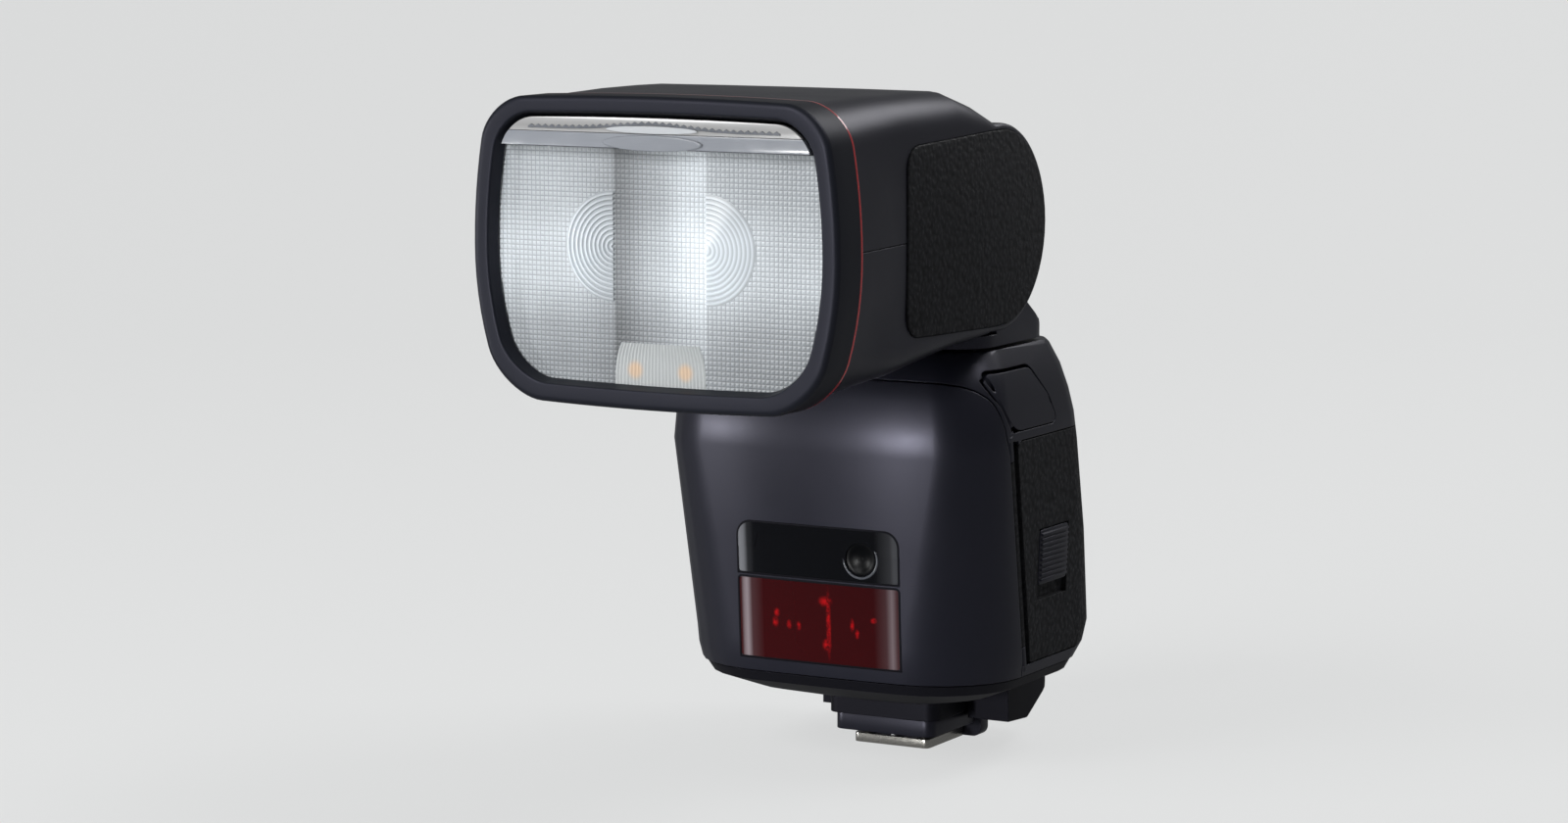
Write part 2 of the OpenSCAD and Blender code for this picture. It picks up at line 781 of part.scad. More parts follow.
module battery_bay() {
    foot = pack_t - 4;
    color("#2b2d31")
    difference() {
        union() {
            on_pack() translate([-bay_t, 0, 0])
                cube([pack_w + bay_t, pack_t + 2 * bay_t, pack_h + 2 * bay_t]);
            across(pack_x, pack_x + pack_w - 2)
                polygon([[pack_y, frame_top], [pack_y + foot, frame_top],
                    [pack_y + foot, frame_top + foot * tan(pack_lean) + 0.1]]);
        }
        on_pack() translate([-close, bay_t - close, bay_t - close])
            cube([pack_w + 2, pack_t + 2 * close, pack_h + 2 * close]);
    }
}

module battery_pack() {
    groove = 0.6;
    color("#3a3d44")
    on_pack() translate([0, bay_t, bay_t])
    difference() {
        cube([pack_w - 0.6, pack_t, pack_h]);
        for (z = [pack_h / 2 - 6, pack_h / 2 + 6])
            translate([pack_w - 0.6 - groove, 3, z]) cube([groove + 1, pack_t - 6, 1.2]);
    }
}

module power_board() {
    color("#1f5a3a")
    across(-power_board_x, board_t - power_board_x)
        polygon(rounded_box(-22, frame_top, 4, cover_top_z - 8, 1.2));
}

// Base under the covers: bowl, front pedestal, rear block with the lever notch
notch_hw = 10.5;
notch_z = 12.4;
lever_y = block_len / 2 - 1 + stop_t + 3.2;
pedestal_hw = 13.6;
pedestal_front = -foot_len / 2 - block_lead - 1;
pedestal_rear = 3;
rear_block_hw = 23.4;
rear_block_y = pedestal_rear - 0.5;

// Underside section of the housing, drawn in and set at a height
function skirt_outline(z, inset) =
    let (s = body_levels(0)[0])
    body_outline([z, s[1] - inset, s[2] - inset, s[3] - inset * 0.2, s[4] - inset * 0.55, s[5]]);
skirt_steps = [[8.6, 20.5], [5.8, 9.5], [2.6, 1.8], [seam, 0.5]];

module base_skirt() {
    hollow = 2;
    base_top = body_z - seam;
    rear_profile = [[rear_block_y, 5.4], [12, 4.8], [23.8, 11.6], [22, base_top], [rear_block_y, base_top]];
    color("#191a1e")
    difference() {
        union() {
            difference() {
                union() {
                    loft([for (s = skirt_steps) skirt_outline(body_z - s[0], s[1])]);
                    intersection() {
                        across(-rear_block_hw, rear_block_hw) polygon(rounded(rear_profile, [0, 2, 4, 0, 0]));
                        linear_extrude(body_z)
                            polygon(rounded(box_points(-rear_block_hw, rear_block_y, rear_block_hw, 25),
                                [0, 0, 5, 5]));
                    }
                    translate([0, 0, block_top])
                        linear_extrude(6)
                            polygon(rounded_box(-pedestal_hw, pedestal_front, pedestal_hw, pedestal_rear, 3));
                }
                loft([for (s = [[5, 22], [3.8, 12], [1.6, 4.2], [seam - 0.1, 3.2]])
                    skirt_outline(body_z - s[0], s[1])]);
            }
            // Screw columns up to the covers
            for (x = [-23, 23], y = [-22, 5])
                translate([x, y, body_z - 6]) cylinder(r = 3, h = 6);
        }
        // Room for the foot block and its stop
        translate([-stop_w / 2 - 0.15, pedestal_front - 5, -1])
            cube([stop_w + 0.3, lever_y - 2.45 - pedestal_front + 5, block_top + 1]);
        difference() {
            translate([-notch_hw, lever_y - 3.2, -1]) cube([2 * notch_hw, 20, notch_z + 1]);
            translate([0, lever_y, 5.8]) cylinder(r = 1.6, h = notch_z);
        }
    }
}

module foot_block() {
    color("#1f2024")
    difference() {
        union() {
            translate([0, 0, groove_z]) linear_extrude(block_h)
                polygon(rounded_box(-block_w / 2, -foot_len / 2 - block_lead,
                    block_w / 2, block_len / 2 - 1, 2.4));
            along(block_len / 2 - 1.2, block_len / 2 - 1 + stop_t)
                polygon(rounded(box_points(-stop_w / 2, -stop_drop, stop_w / 2, block_top), [2, 2, 1, 1]));
            translate([0, 0, 0.15]) linear_extrude(groove_z)
                polygon(rounded_box(-pad_w / 2, -pad_len / 2, pad_w / 2, pad_len / 2, 1));
        }
        for (c = contact_places)
            translate([c.x, c.y, -1]) cylinder(r = contact_r + running, h = groove_z + 1);
        translate([0, lock_pin_y, 0]) cylinder(r = lock_pin_r + running, h = block_top - 0.3);
    }
}

module foot_plate() {
    color("#b4b5b5")
    difference() {
        union() {
            linear_extrude(foot_t)
                polygon(rounded_box(-foot_w / 2, -foot_len / 2, foot_w / 2, foot_len / 2, 1.2));
            for (side = [-1, 1])
                translate([side * (web_w - web_t) / 2 - web_t / 2, -foot_len / 2 + 2, foot_t - 0.01])
                    cube([web_t, foot_len - 4, rail_gap + 0.01]);
        }
        translate([0, 0, -1]) linear_extrude(foot_t + 2)
            polygon(rounded_box(-pad_w / 2 - close, -pad_len / 2 - close,
                pad_w / 2 + close, pad_len / 2 + close, 1));
        translate([0, lock_pin_y, -1]) cylinder(r = lock_pin_r + 0.1, h = foot_t + 2);
    }
}

module contact_pins() {
    color("#c9a64a")
    for (c = contact_places)
        translate([c.x, c.y, -contact_out]) {
            translate([0, 0, contact_r]) sphere(r = contact_r);
            translate([0, 0, contact_r]) cylinder(r = contact_r, h = groove_z - contact_r - 0.4);
        }
}

module lock_pin() {
    color("#b4b5b5")
    translate([0, lock_pin_y, 0.5]) cylinder(r = lock_pin_r, h = block_top - 1.6);
}

// Foot lock lever, drawn swung to its open end
lever_swing = 34;

module lock_lever() {
    low = 6.2;
    color("#1d1e22")
    translate([0, lever_y, low]) rotate(-lever_swing / 2)
    difference() {
        linear_extrude(notch_z - 0.4 - low) difference() {
            polygon(rounded([[-3.4, -2.6], [3.4, -2.6], [5.6, 9.4], [-5.6, 9.4]], [3.3, 3.3, 2, 2]));
            for (k = [-2:2]) translate([k * 1.8, 9.7]) circle(r = 0.6);
        }
        translate([0, 0, -1]) cylinder(r = 1.6 + running, h = 10);
    }
}

// Swivel joint in the platform
flange_t = 2.4;
spindle_low = turret_z - wall - free - flange_t;

module swivel_washer() {
    color("#6d6f72")
    translate([0, swivel_y, turret_z])
    difference() {
        cylinder(r = spindle_r + 9, h = neck_gap - free);
        translate([0, 0, -1]) cylinder(r = spindle_r + 0.4, h = 3);
    }
}

module swivel_spindle() {
    color("#8b8d90")
    translate([0, swivel_y, spindle_low])
    difference() {
        union() {
            cylinder(r = spindle_r + 4, h = flange_t);
            cylinder(r = spindle_r, h = neck_z - spindle_low);
        }
        translate([0, 0, -1]) cylinder(r = spindle_r - 3.4, h = 20);
    }
}

// Neck: cradle behind the barrel, and a riser that carries the drum
neck_hw = turret_hw - 0.5;
neck_front = -turret_front + 2;
neck_rear = turret_rear - 3.8;
drum_hw = drum_w / 2;
neck_plate = 2.6;

module neck_cradle() {
    riser_hw = drum_hw - 2.5;
    wing = [[neck_front, neck_z], [neck_rear, neck_z], [neck_rear - 0.3, neck_z + 0.5],
        [tilt_y + 29.3, tilt_z - 21.9], [tilt_y + 24, tilt_z - 18.3], [tilt_y + 17.6, tilt_z - 13.4],
        [tilt_y + 9, tilt_z - 13.4],
        [tilt_y + 9, neck_z + neck_plate], [neck_front, neck_z + neck_plate]];
    color("#1a1b1f")
    difference() {
        intersection() {
            union() {
                across(-neck_hw, neck_hw) polygon(rounded(wing, [0, 0, 0.4, 5, 5, 0.8, 0, 0, 1]));
                across(-riser_hw, riser_hw)
                    polygon(box_points(neck_front, neck_z, tilt_y + 10, tilt_z - drum_r + 3));
            }
            translate([0, 0, neck_z]) linear_extrude(neck_rise)
                polygon(rounded_box(-neck_hw, neck_front, neck_hw, neck_rear, 9));
        }
        translate([0, tilt_y, tilt_z]) {
            cross_bar(-body_w, -drum_hw - 0.2, barrel_r + cradle_gap);
            cross_bar(-drum_hw - 0.3, drum_hw + 0.3, drum_r + 0.02);
            cross_bar(drum_hw + 0.2, body_w, barrel_r + cradle_gap);
        }
        translate([0, swivel_y, neck_z - 1]) cylinder(r = spindle_r - 3.4, h = neck_plate);
    }
}

bush_r = shaft_r + 2.6;
bush_len = 6.5;

module hinge_drum() {
    rim = 0.8;
    color("#18191c")
    translate([-drum_hw, tilt_y, tilt_z]) rotate([0, 90, 0])
    difference() {
        rotate_extrude()
            polygon(concat([[shaft_r + 1.4, 0]], arc([drum_r - rim, rim], rim, -90, 0, 4),
                arc([drum_r - rim, drum_w - rim], rim, 0, 90, 4), [[shaft_r + 1.4, drum_w]]));
        for (z = [-1, drum_w - bush_len])
            translate([0, 0, z]) cylinder(r = bush_r, h = bush_len + 1);
    }
}

module tilt_bushes() {
    color("#a88f4e")
    translate([0, tilt_y, tilt_z])
    for (x = [-drum_hw, drum_hw - bush_len])
        difference() {
            cross_bar(x, x + bush_len, bush_r - 0.02);
            cross_bar(x - 1, x + bush_len + 1, shaft_r + running);
        }
}

shaft_end = cheek_hw - 10.5;

module tilt_shaft() {
    color("#9a9ca0")
    translate([0, tilt_y, tilt_z])
    difference() {
        cross_bar(-shaft_end, shaft_end, shaft_r);
        cross_bar(-body_w, body_w, shaft_r - 1.6);
    }
}

// Head sections: place, half width, bottom, top, upper and lower corner radius, bulge of
// sides and of top and bottom, and how far the lower corners draw in
function bulged(hx, hz, rt, rb, bx, bz, draw) =
    let (ax = hx - bx, az = hz - bz, part = [0.25, 0.5, 0.75])
    let (ring = concat(
        arc([ax - rt, rt - az], rt, -90, 0, corner_steps), [for (t = part) [ax, mix(rt - az, az - rb, t)]],
        arc([ax - rb, az - rb], rb, 0, 90, corner_steps), [for (t = part) [mix(ax - rb, rb - ax, t), az]],
        arc([rb - ax, az - rb], rb, 90, 180, corner_steps), [for (t = part) [-ax, mix(az - rb, rt - az, t)]],
        arc([rt - ax, rt - az], rt, 180, 270, corner_steps),
        [for (t = part) [mix(rt - ax, ax - rt, t), -az]]))
    [for (p = ring)
        [p.x * (1 + bx / ax * (1 - pow(p.y / az, 2)) - draw / ax * pow(max(0, p.y / az), 2)),
            p.y * (1 + bz / az * (1 - pow(p.x / ax, 2)))]];

function head_ring(s, inset = 0) =
    let (mid = (s[2] + s[3]) / 2, hz = (s[3] - s[2]) / 2)
    let (rt = max(0.8, s[4] - inset), rb = max(0.8, s[5] - inset))
    [for (p = bulged(s[1] - inset, hz - inset, rt, rb, s[6], s[7], s[8]))
        [p.x, p.y - mid, s[0]]];

module head_loft(sections, inset = 0) {
    rotate([-90, 0, 0]) loft([for (s = sections) head_ring(s, inset)]);
}

head_low = head_mid - head_h / 2;
head_high = head_mid + head_h / 2;
bezel_rt = 8.5;
bezel_rb = 10;
bezel_bow = 0.9;
function bezel_section(y, inset) =
    [y, bezel_hw - inset, head_low + inset, head_high - inset, bezel_rt - inset * 0.6, bezel_rb - inset * 0.6,
        side_bulge - 0.1 * inset, bezel_bow, bezel_taper];
function opening_section(y, grow) =
    [y, opening_w / 2 + grow, opening_mid - opening_h / 2 - grow, opening_mid + opening_h / 2 + grow,
        6.5 + grow, 8 + grow, side_bulge - 0.4, 0.6, bezel_taper - 0.4];

head_sections = [
    [ring_y + ring_t, bezel_hw - 0.6, head_low + 0.7, head_high - 0.5, 8.2, 9.6, side_bulge - 0.2, 0.8,
        bezel_taper - 0.2],
    [ring_y + 7, bezel_hw - 1, head_low + 2.1, head_high - 0.4, 8.2, 9, side_bulge - 0.8, 0.8,
        bezel_taper - 0.8],
    [ring_y + 15, mix(cheek_hw, bezel_hw, 0.25), head_low + 3.7, head_high - 0.4, 8.4, 8, 1.6, 0.6, 1.2],
    [tilt_y - 43, cheek_hw, head_low + 5.1, head_high - 0.4, 8.6, 6.5, 0.3, 0.4, 0.3],
    [tilt_y - 28.5, cheek_hw, head_low + 7.5, head_high - 0.5, 8.6, 5, 0, 0.3, 0],
    [tilt_y - 17.6, cheek_hw, head_low + 8.7, head_high - 0.8, 8, 4.6, 0, 0.2, 0],
    [tilt_y - 9, cheek_hw, head_low + 9.4, head_high - 3.8, 6, 4, 0, 0, 0],
    [tilt_y - 3, cheek_hw, head_low + 10.2, head_high - 7.2, 3, 3, 0, 0, 0],
    [tilt_y, cheek_hw, tilt_z - barrel_r + 0.4, tilt_z + barrel_r - 0.4, 2.5, 2.5, 0, 0, 0]];
cavity_sections = concat([for (i = [0:3]) head_sections[i]],
    [[cavity_back, cheek_hw, head_low + 8, head_high - 0.6, 8, 5, 0, 0.3, 0]]);

module barrel() {
    rim = 1.2;
    long = cheek_w - 0.1;
    translate([-long / 2, tilt_y, tilt_z]) rotate([0, 90, 0])
    rotate_extrude()
        polygon(concat([[0, 0]], arc([barrel_r - rim, rim], rim, -90, 0, 4),
            arc([barrel_r - rim, long - rim], rim, 0, 90, 4), [[0, long]]));
}

// Pad outline from the side, round the barrel at the rear
pad_y = tilt_y - 42.5;
pad_r = barrel_r - 1.4;
pad_bed = cheek_hw + pad_proud - pad_t;
function pad_outline(g) =
    concat(rounded([[tilt_y - 5, tilt_z + pad_r + g], [pad_y - g, tilt_z + 19.2 + g],
        [pad_y - g, tilt_z - 19.2 - g], [tilt_y - 5, tilt_z - pad_r - g]], [0, 5, 5, 0]),
        arc([tilt_y, tilt_z], pad_r + g, -90, 90, 24));

release_y = tilt_y;
release_travel = 1.6;
release_floor = cheek_hw - 8.5;

// Both housing halves in one, before they are parted
module head_housing() {
    slot_hw = drum_hw + cheek_gap;
    difference() {
        union() {
            head_loft(head_sections);
            barrel();
        }
        head_loft([for (i = [0:len(cavity_sections) - 1]) let (s = cavity_sections[i])
            i == 0 ? concat([s[0] - 0.1], [for (k = [1:8]) s[k]]) : s], wall);
        translate([0, tilt_y, tilt_z]) {
            cross_bar(-slot_hw, slot_hw, drum_r + 0.9);
            cross_bar(-shaft_end - 0.3, shaft_end + 0.3, shaft_r + close);
            cross_bar(-body_w, -release_floor, release_r + 0.15);
        }
        across(-slot_hw, slot_hw)
            polygon(box_points(tilt_y - 14, head_low, tilt_y + barrel_r + 2, tilt_z - 12));
        for (x = [-body_w, pad_bed])
            across(x, x + body_w - pad_bed) polygon(pad_outline(0.1));
    }
}

half_seam = 0.1;

module head_upper_shell() {
    color("#1d1e23")
    intersection() {
        head_housing();
        translate([-body_w, head_y, tilt_z + half_seam]) cube([2 * body_w, 2 * body_w, body_w]);
    }
}

module head_lower_shell() {
    color("#1b1c20")
    intersection() {
        head_housing();
        translate([-body_w, head_y, tilt_z - half_seam - body_w]) cube([2 * body_w, 2 * body_w, body_w]);
    }
}

module bezel_frame() {
    color("#202126")
    difference() {
        head_loft([bezel_section(head_y, 1.1), bezel_section(head_y + 0.35, 0.45),
            bezel_section(head_y + 1.1, 0), bezel_section(ring_y, 0)]);
        head_loft([opening_section(head_y - 0.1, 0.7), opening_section(lens_y + 0.1, 0)]);
        head_loft([bezel_section(lens_y, 2.4), bezel_section(ring_y + 0.1, 2.4)]);
    }
}

module accent_ring() {
    color("#b3121c")
    difference() {
        head_loft([bezel_section(ring_y, 0.05), bezel_section(ring_y + ring_t, 0.05)]);
        head_loft([bezel_section(ring_y - 0.1, 2.5), bezel_section(ring_y + ring_t + 0.1, 2.5)]);
    }
}

// Clear lens with a half disc of ring prisms on each side of a plain band
module front_lens() {
    disc_x = 10.7;
    disc_r = 11.4;
    rings = 9;
    step = disc_r / rings;
    prism = 0.5;
    mid = mix(opening_mid - opening_h / 2, tray_z, 0.5);
    teeth = [for (i = [1:rings - 1]) each [[i * step, prism], [(i + 1) * step - 0.05, 0]]];
    color("#cfd3d6")
    union() {
        intersection() {
            head_loft([bezel_section(lens_y, 2.5), bezel_section(lens_y + lens_t, 2.5)]);
            translate([-body_w, head_y, head_low]) cube([2 * body_w, body_w, tray_z - close - head_low]);
        }
        // Half discs of ring prisms beside the plain middle band
        for (side = [0, 1]) mirror([side, 0, 0]) translate([disc_x, lens_y + lens_t - 0.01, mid])
            intersection() {
                rotate([-90, 0, 0])
                    rotate_extrude() polygon(concat([[step, 0]], teeth, [[disc_r, -0.2], [step, -0.2]]));
                translate([0, -1, -disc_r - 1]) cube([disc_r + 1, 5, 2 * disc_r + 2]);
            }
    }
}

module grip_pad_right() {
    color("#15161a")
    across(pad_bed, cheek_hw + pad_proud) polygon(pad_outline(0));
}

module grip_pad_left() {
    color("#15161a")
    difference() {
        across(-cheek_hw - pad_proud, -pad_bed) polygon(pad_outline(0));
        translate([0, release_y, tilt_z]) cross_bar(-body_w, 0, release_r + 0.5);
    }
}

module tilt_release_button() {
    proud = 1;
    dish_r = 24;
    color("#1f2025")
    translate([0, release_y, tilt_z])
    difference() {
        cross_bar(-cheek_hw - proud, -release_floor - release_travel - 0.4, release_r);
        translate([-cheek_hw - proud - dish_r + 0.6, 0, 0]) sphere(r = dish_r);
    }
}

// Tray that guides the two panels under the roof of the head
rail_x = panel_w / 2 + free;
rail_t = 1.2;
catch_w = panel_w - 8;

module panel_tray() {
    floor_end = cavity_back;
    color("#2a2b2f")
    union() {
        translate([-rail_x - rail_t, lens_y + 0.1, tray_z])
            cube([2 * (rail_x + rail_t), floor_end - lens_y - 0.1, tray_t]);
        for (side = [0, 1]) mirror([side, 0, 0]) {
            translate([rail_x, lens_y + 0.1, tray_z])
                cube([rail_t, floor_end - lens_y - 0.1, catch_z - panel_gap - tray_z]);
            translate([catch_w / 2 - 2, lens_y + 0.1, catch_z - panel_gap - shelf_t])
                cube([rail_x - catch_w / 2 + 2.1, floor_end - lens_y - 0.1, shelf_t]);
        }
    }
}

// Front lip of a panel with a scalloped finger pull
module panel_lip(hw, low, high, pull) {
    scallops = 7;
    difference() {
        along(lip_y, lip_y + lip_d) polygon(rounded_box(-hw, low, hw, high, 0.5));
        for (i = [0:scallops - 1])
            translate([(i - (scallops - 1) / 2) * 2 * pull / scallops, lip_y - 0.4, low - 1])
                cylinder(r = 0.9, h = high - low + 2);
    }
}

module wide_panel() {
    color("#d9dcde")
    union() {
        translate([0, 0, wide_z]) linear_extrude(panel_t)
            polygon(rounded(box_points(-panel_w / 2, lip_y + 0.1, panel_w / 2, lip_y + panel_len),
                [0, 0, 2, 2]));
        panel_lip(panel_w / 2 - 1, tray_z + 0.3, wide_z + panel_t + 0.1, 8);
    }
}

module catchlight_panel() {
    color("#eceded")
    union() {
        translate([0, 0, catch_z]) linear_extrude(panel_t)
            polygon(rounded(box_points(-catch_w / 2, lip_y + 0.1, catch_w / 2, lip_y + panel_len),
                [0, 0, 2, 2]));
        panel_lip(catch_w / 2, catch_z - 0.4, catch_z + panel_t, 10);
    }
}

// Pair of lamps low in the head
led_hw = 10.8;
led_low = opening_mid - opening_h / 2 - 0.4;
led_high = led_low + 6.8;
led_x = 6.2;
led_back = lens_y + lens_t + 3.6;

module led_window() {
    color("#e6e4dc")
    difference() {
        along(lens_y + lens_t + 0.1, led_back) polygon(rounded_box(-led_hw, led_low, led_hw, led_high, 1));
        for (side = [-1, 1])
            translate([side * led_x, led_back + 1, (led_low + led_high) / 2]) rotate([90, 0, 0])
                cylinder(r = 2.6, h = 10);
    }
}

module led_board() {
    color("#e9d7a0")
    union() {
        along(led_back + 0.05, led_back + 1.2) polygon(box_points(-led_hw, led_low, led_hw, led_high));
        for (side = [-1, 1])
            translate([side * led_x, led_back + 0.1, (led_low + led_high) / 2]) rotate([90, 0, 0]) {
                cylinder(r = 1.9, h = 1.4);
                translate([0, 0, 1.4]) sphere(r = 1.6);
            }
    }
}

// Zoom drive: two rods, a screw with its motor, and a carriage with the flash tube
rod_x = 30;
rod_r = 1.2;
rod_z = head_mid - 18.4;
screw_r = 1.5;
screw_z = head_mid - 15.6;
motor_y = cavity_back - 8.8;
reflect_mid = tray_z - 17.9;
reflect_depth = 17;
reflect_half = 15.5;
reflect_apex = cavity_back - 8;
reflect_hw = 31;
arm_x = reflect_hw + 0.1;
focus = reflect_half * reflect_half / (4 * reflect_depth);
carriage_y = reflect_apex - 15;

module guide_rods() {
    color("#a7a9ac")
    for (side = [-1, 1])
        translate([side * rod_x, cavity_back, rod_z]) rotate([90, 0, 0])
            cylinder(r = rod_r, h = cavity_back - ring_y - 1);
}

module zoom_carriage() {
    arm_t = 1.6;
    deck_z = rod_z + 1.4;
    color("#3a3c40")
    difference() {
        union() {
            translate([-arm_x - arm_t, carriage_y, deck_z]) cube([2 * (arm_x + arm_t), 9, 1.2]);
            for (side = [0, 1]) mirror([side, 0, 0])
                across(arm_x, arm_x + arm_t)
                    polygon(rounded([[carriage_y, deck_z], [carriage_y + 9, deck_z],
                        [reflect_apex - focus + 4, reflect_mid - 2],
                        [reflect_apex - focus + 4, reflect_mid + 4],
                        [reflect_apex - focus - 4, reflect_mid + 4]], [0, 0, 2, 2, 2]));
            for (side = [-1, 1])
                translate([side * rod_x, carriage_y + 9, rod_z]) rotate([90, 0, 0])
                    cylinder(r = rod_r + 1.4, h = 9);
            translate([0, carriage_y + 6, screw_z]) rotate([90, 0, 0]) cylinder(r = screw_r + 1.3, h = 5);
        }
        for (side = [-1, 1])
            translate([side * rod_x, carriage_y + 10, rod_z]) rotate([90, 0, 0])
                cylinder(r = rod_r + running, h = 12);
        translate([0, carriage_y + 10, screw_z]) rotate([90, 0, 0]) cylinder(r = screw_r + running, h = 12);
        translate([0, reflect_apex - focus, reflect_mid]) cross_bar(-body_w, body_w, tube_r + close);
    }
}

module reflector() {
    skin = 0.8;
    steps = 14;
    curve = [for (i = [-steps:steps])
        let (h = reflect_half * i / steps) [reflect_apex - h * h / (4 * focus), reflect_mid + h]];
    color("#d4d6d8")
    difference() {
        across(-reflect_hw, reflect_hw)
            polygon([for (p = curve) [p.x + skin * (p.x - reflect_apex + 20) / 20, p.y]]);
        across(-reflect_hw + skin, reflect_hw - skin) polygon(concat([for (p = curve) p],
            [[reflect_apex - reflect_depth - 5, reflect_mid + reflect_half],
                [reflect_apex - reflect_depth - 5, reflect_mid - reflect_half]]));
        translate([0, reflect_apex - focus, reflect_mid]) cross_bar(-body_w, body_w, tube_r + close);
    }
}

module flash_tube() {
    end = arm_x + 1.4;
    color("#e8eaee")
    translate([0, reflect_apex - focus, reflect_mid])
    union() {
        cross_bar(-end, end, tube_r);
        for (side = [0, 1]) mirror([side, 0, 0]) cross_bar(end - 0.01, end + 2, 0.6);
    }
}

module zoom_leadscrew() {
    color("#9b9da0")
    translate([0, motor_y, screw_z]) rotate([90, 0, 0])
    union() {
        translate([0, 0, 0.4]) cylinder(r = screw_r, h = 29);
        translate([0, 0, -2]) cylinder(r = screw_r - 0.5, h = 3);
    }
}

module zoom_motor() {
    color("#c3c5c8")
    difference() {
        translate([0, cavity_back, screw_z]) rotate([90, 0, 0]) cylinder(r = 4.2, h = cavity_back - motor_y);
        translate([0, motor_y + 2.4, screw_z]) rotate([90, 0, 0])
            cylinder(r = screw_r - 0.5 + running, h = 5);
    }
}

front_cover();
rear_cover();
base_skirt();
foot_block();
foot_plate();
contact_pins();
lock_lever();
lock_pin();
sensor_window();
sensor_lens();
af_window();
af_emitter();
lcd_window();
lcd_module();
control_board();
inner_frame();
battery_bay();
battery_pack();
main_capacitor();
power_board();
battery_door();
door_hinge_pin();
door_latch();
terminal_cover();
terminal_hinge_pin();
terminal_bay();
sync_socket();
power_socket();
swivel_washer();
swivel_spindle();
neck_cradle();
hinge_drum();
tilt_bushes();
tilt_shaft();
head_upper_shell();
head_lower_shell();
bezel_frame();
accent_ring();
front_lens();
grip_pad_right();
grip_pad_left();
panel_tray();
wide_panel();
catchlight_panel();
led_window();
led_board();
guide_rods();
zoom_carriage();
reflector();
flash_tube();
zoom_leadscrew();
zoom_motor();
tilt_release_button();
select_dial();
set_button();
left_key();
right_key();
test_button();
power_switch();
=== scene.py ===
"""Looks of a hot-shoe speedlight flash: fine forms, finishes and a plain studio stage round its frame."""

import json
import math

import bmesh
import bpy
from bpy.props import FloatProperty, FloatVectorProperty, IntProperty, PointerProperty
from mathutils import Matrix, Vector
from mathutils.bvhtree import BVHTree
from mathutils.interpolate import poly_3d_calc

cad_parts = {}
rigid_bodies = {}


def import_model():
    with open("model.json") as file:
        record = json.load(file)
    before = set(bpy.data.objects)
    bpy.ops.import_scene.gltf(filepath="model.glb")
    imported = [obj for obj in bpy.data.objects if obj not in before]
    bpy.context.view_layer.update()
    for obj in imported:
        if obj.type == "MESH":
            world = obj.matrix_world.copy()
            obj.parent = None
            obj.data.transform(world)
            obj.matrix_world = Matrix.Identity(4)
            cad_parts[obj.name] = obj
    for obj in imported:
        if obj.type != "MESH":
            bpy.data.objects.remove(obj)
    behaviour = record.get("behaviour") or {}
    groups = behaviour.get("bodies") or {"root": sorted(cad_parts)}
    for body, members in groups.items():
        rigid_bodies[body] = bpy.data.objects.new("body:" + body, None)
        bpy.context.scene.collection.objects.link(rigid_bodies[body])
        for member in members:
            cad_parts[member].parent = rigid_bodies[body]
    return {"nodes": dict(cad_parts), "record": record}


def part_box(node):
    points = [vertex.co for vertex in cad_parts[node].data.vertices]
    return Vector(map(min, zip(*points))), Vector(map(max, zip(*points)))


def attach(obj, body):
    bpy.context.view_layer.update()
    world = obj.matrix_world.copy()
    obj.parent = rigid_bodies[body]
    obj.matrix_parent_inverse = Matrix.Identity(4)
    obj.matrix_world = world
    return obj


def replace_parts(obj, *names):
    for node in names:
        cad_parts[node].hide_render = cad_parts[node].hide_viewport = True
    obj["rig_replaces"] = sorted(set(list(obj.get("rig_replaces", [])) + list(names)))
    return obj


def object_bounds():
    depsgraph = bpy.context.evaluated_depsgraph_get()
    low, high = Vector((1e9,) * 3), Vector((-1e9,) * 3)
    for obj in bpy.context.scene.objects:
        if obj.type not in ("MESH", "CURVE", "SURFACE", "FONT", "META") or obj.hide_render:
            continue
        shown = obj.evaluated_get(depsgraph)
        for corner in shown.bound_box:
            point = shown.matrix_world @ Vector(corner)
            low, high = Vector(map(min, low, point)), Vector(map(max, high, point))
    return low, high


bl_info = {
    "name": "Speedlight flash looks",
    "version": (1, 0, 0),
    "blender": (4, 5, 0),
    "location": "3D View > Sidebar > Flash",
    "description": "Dresses the packed frame of a hot-shoe speedlight flash and sets its studio stage",
    "category": "Object",
}

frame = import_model()
CAD_BOX = [list(corner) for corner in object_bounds()]
MM = 0.001
SLOT_OF = {part["node"]: part["material_slot"] for part in frame["record"]["subparts"]}
BODY_OF = {node: body for body, nodes in frame["record"]["behaviour"]["bodies"].items() for node in nodes}

# Planes, axes and sizes that several pieces share
BEZEL_LOW, BEZEL_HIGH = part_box("bezel_frame")
BEZEL_HALF = (BEZEL_HIGH.x - BEZEL_LOW.x) / 2 / MM
LENS_LOW, LENS_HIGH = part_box("front_lens")
LENS_DEPTH = LENS_HIGH.y - LENS_LOW.y - 0.9 * MM
RING_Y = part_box("accent_ring")[0].y
TILT = (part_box("tilt_shaft")[0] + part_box("tilt_shaft")[1]) / 2

# Width of the bezel in millimetres beside, below and above its opening, and the height of the opening's foot
BEZEL_SIDE, BEZEL_FOOT, BEZEL_TOP = 4.4, 4.7, 4.1
OPENING_FOOT = BEZEL_LOW.z + BEZEL_FOOT * MM

# Height that the brow adds to the sensor window, and the radius of its upper corners
BROW_RISE, BROW_CORNER = 2.2 * MM, 3.2 * MM

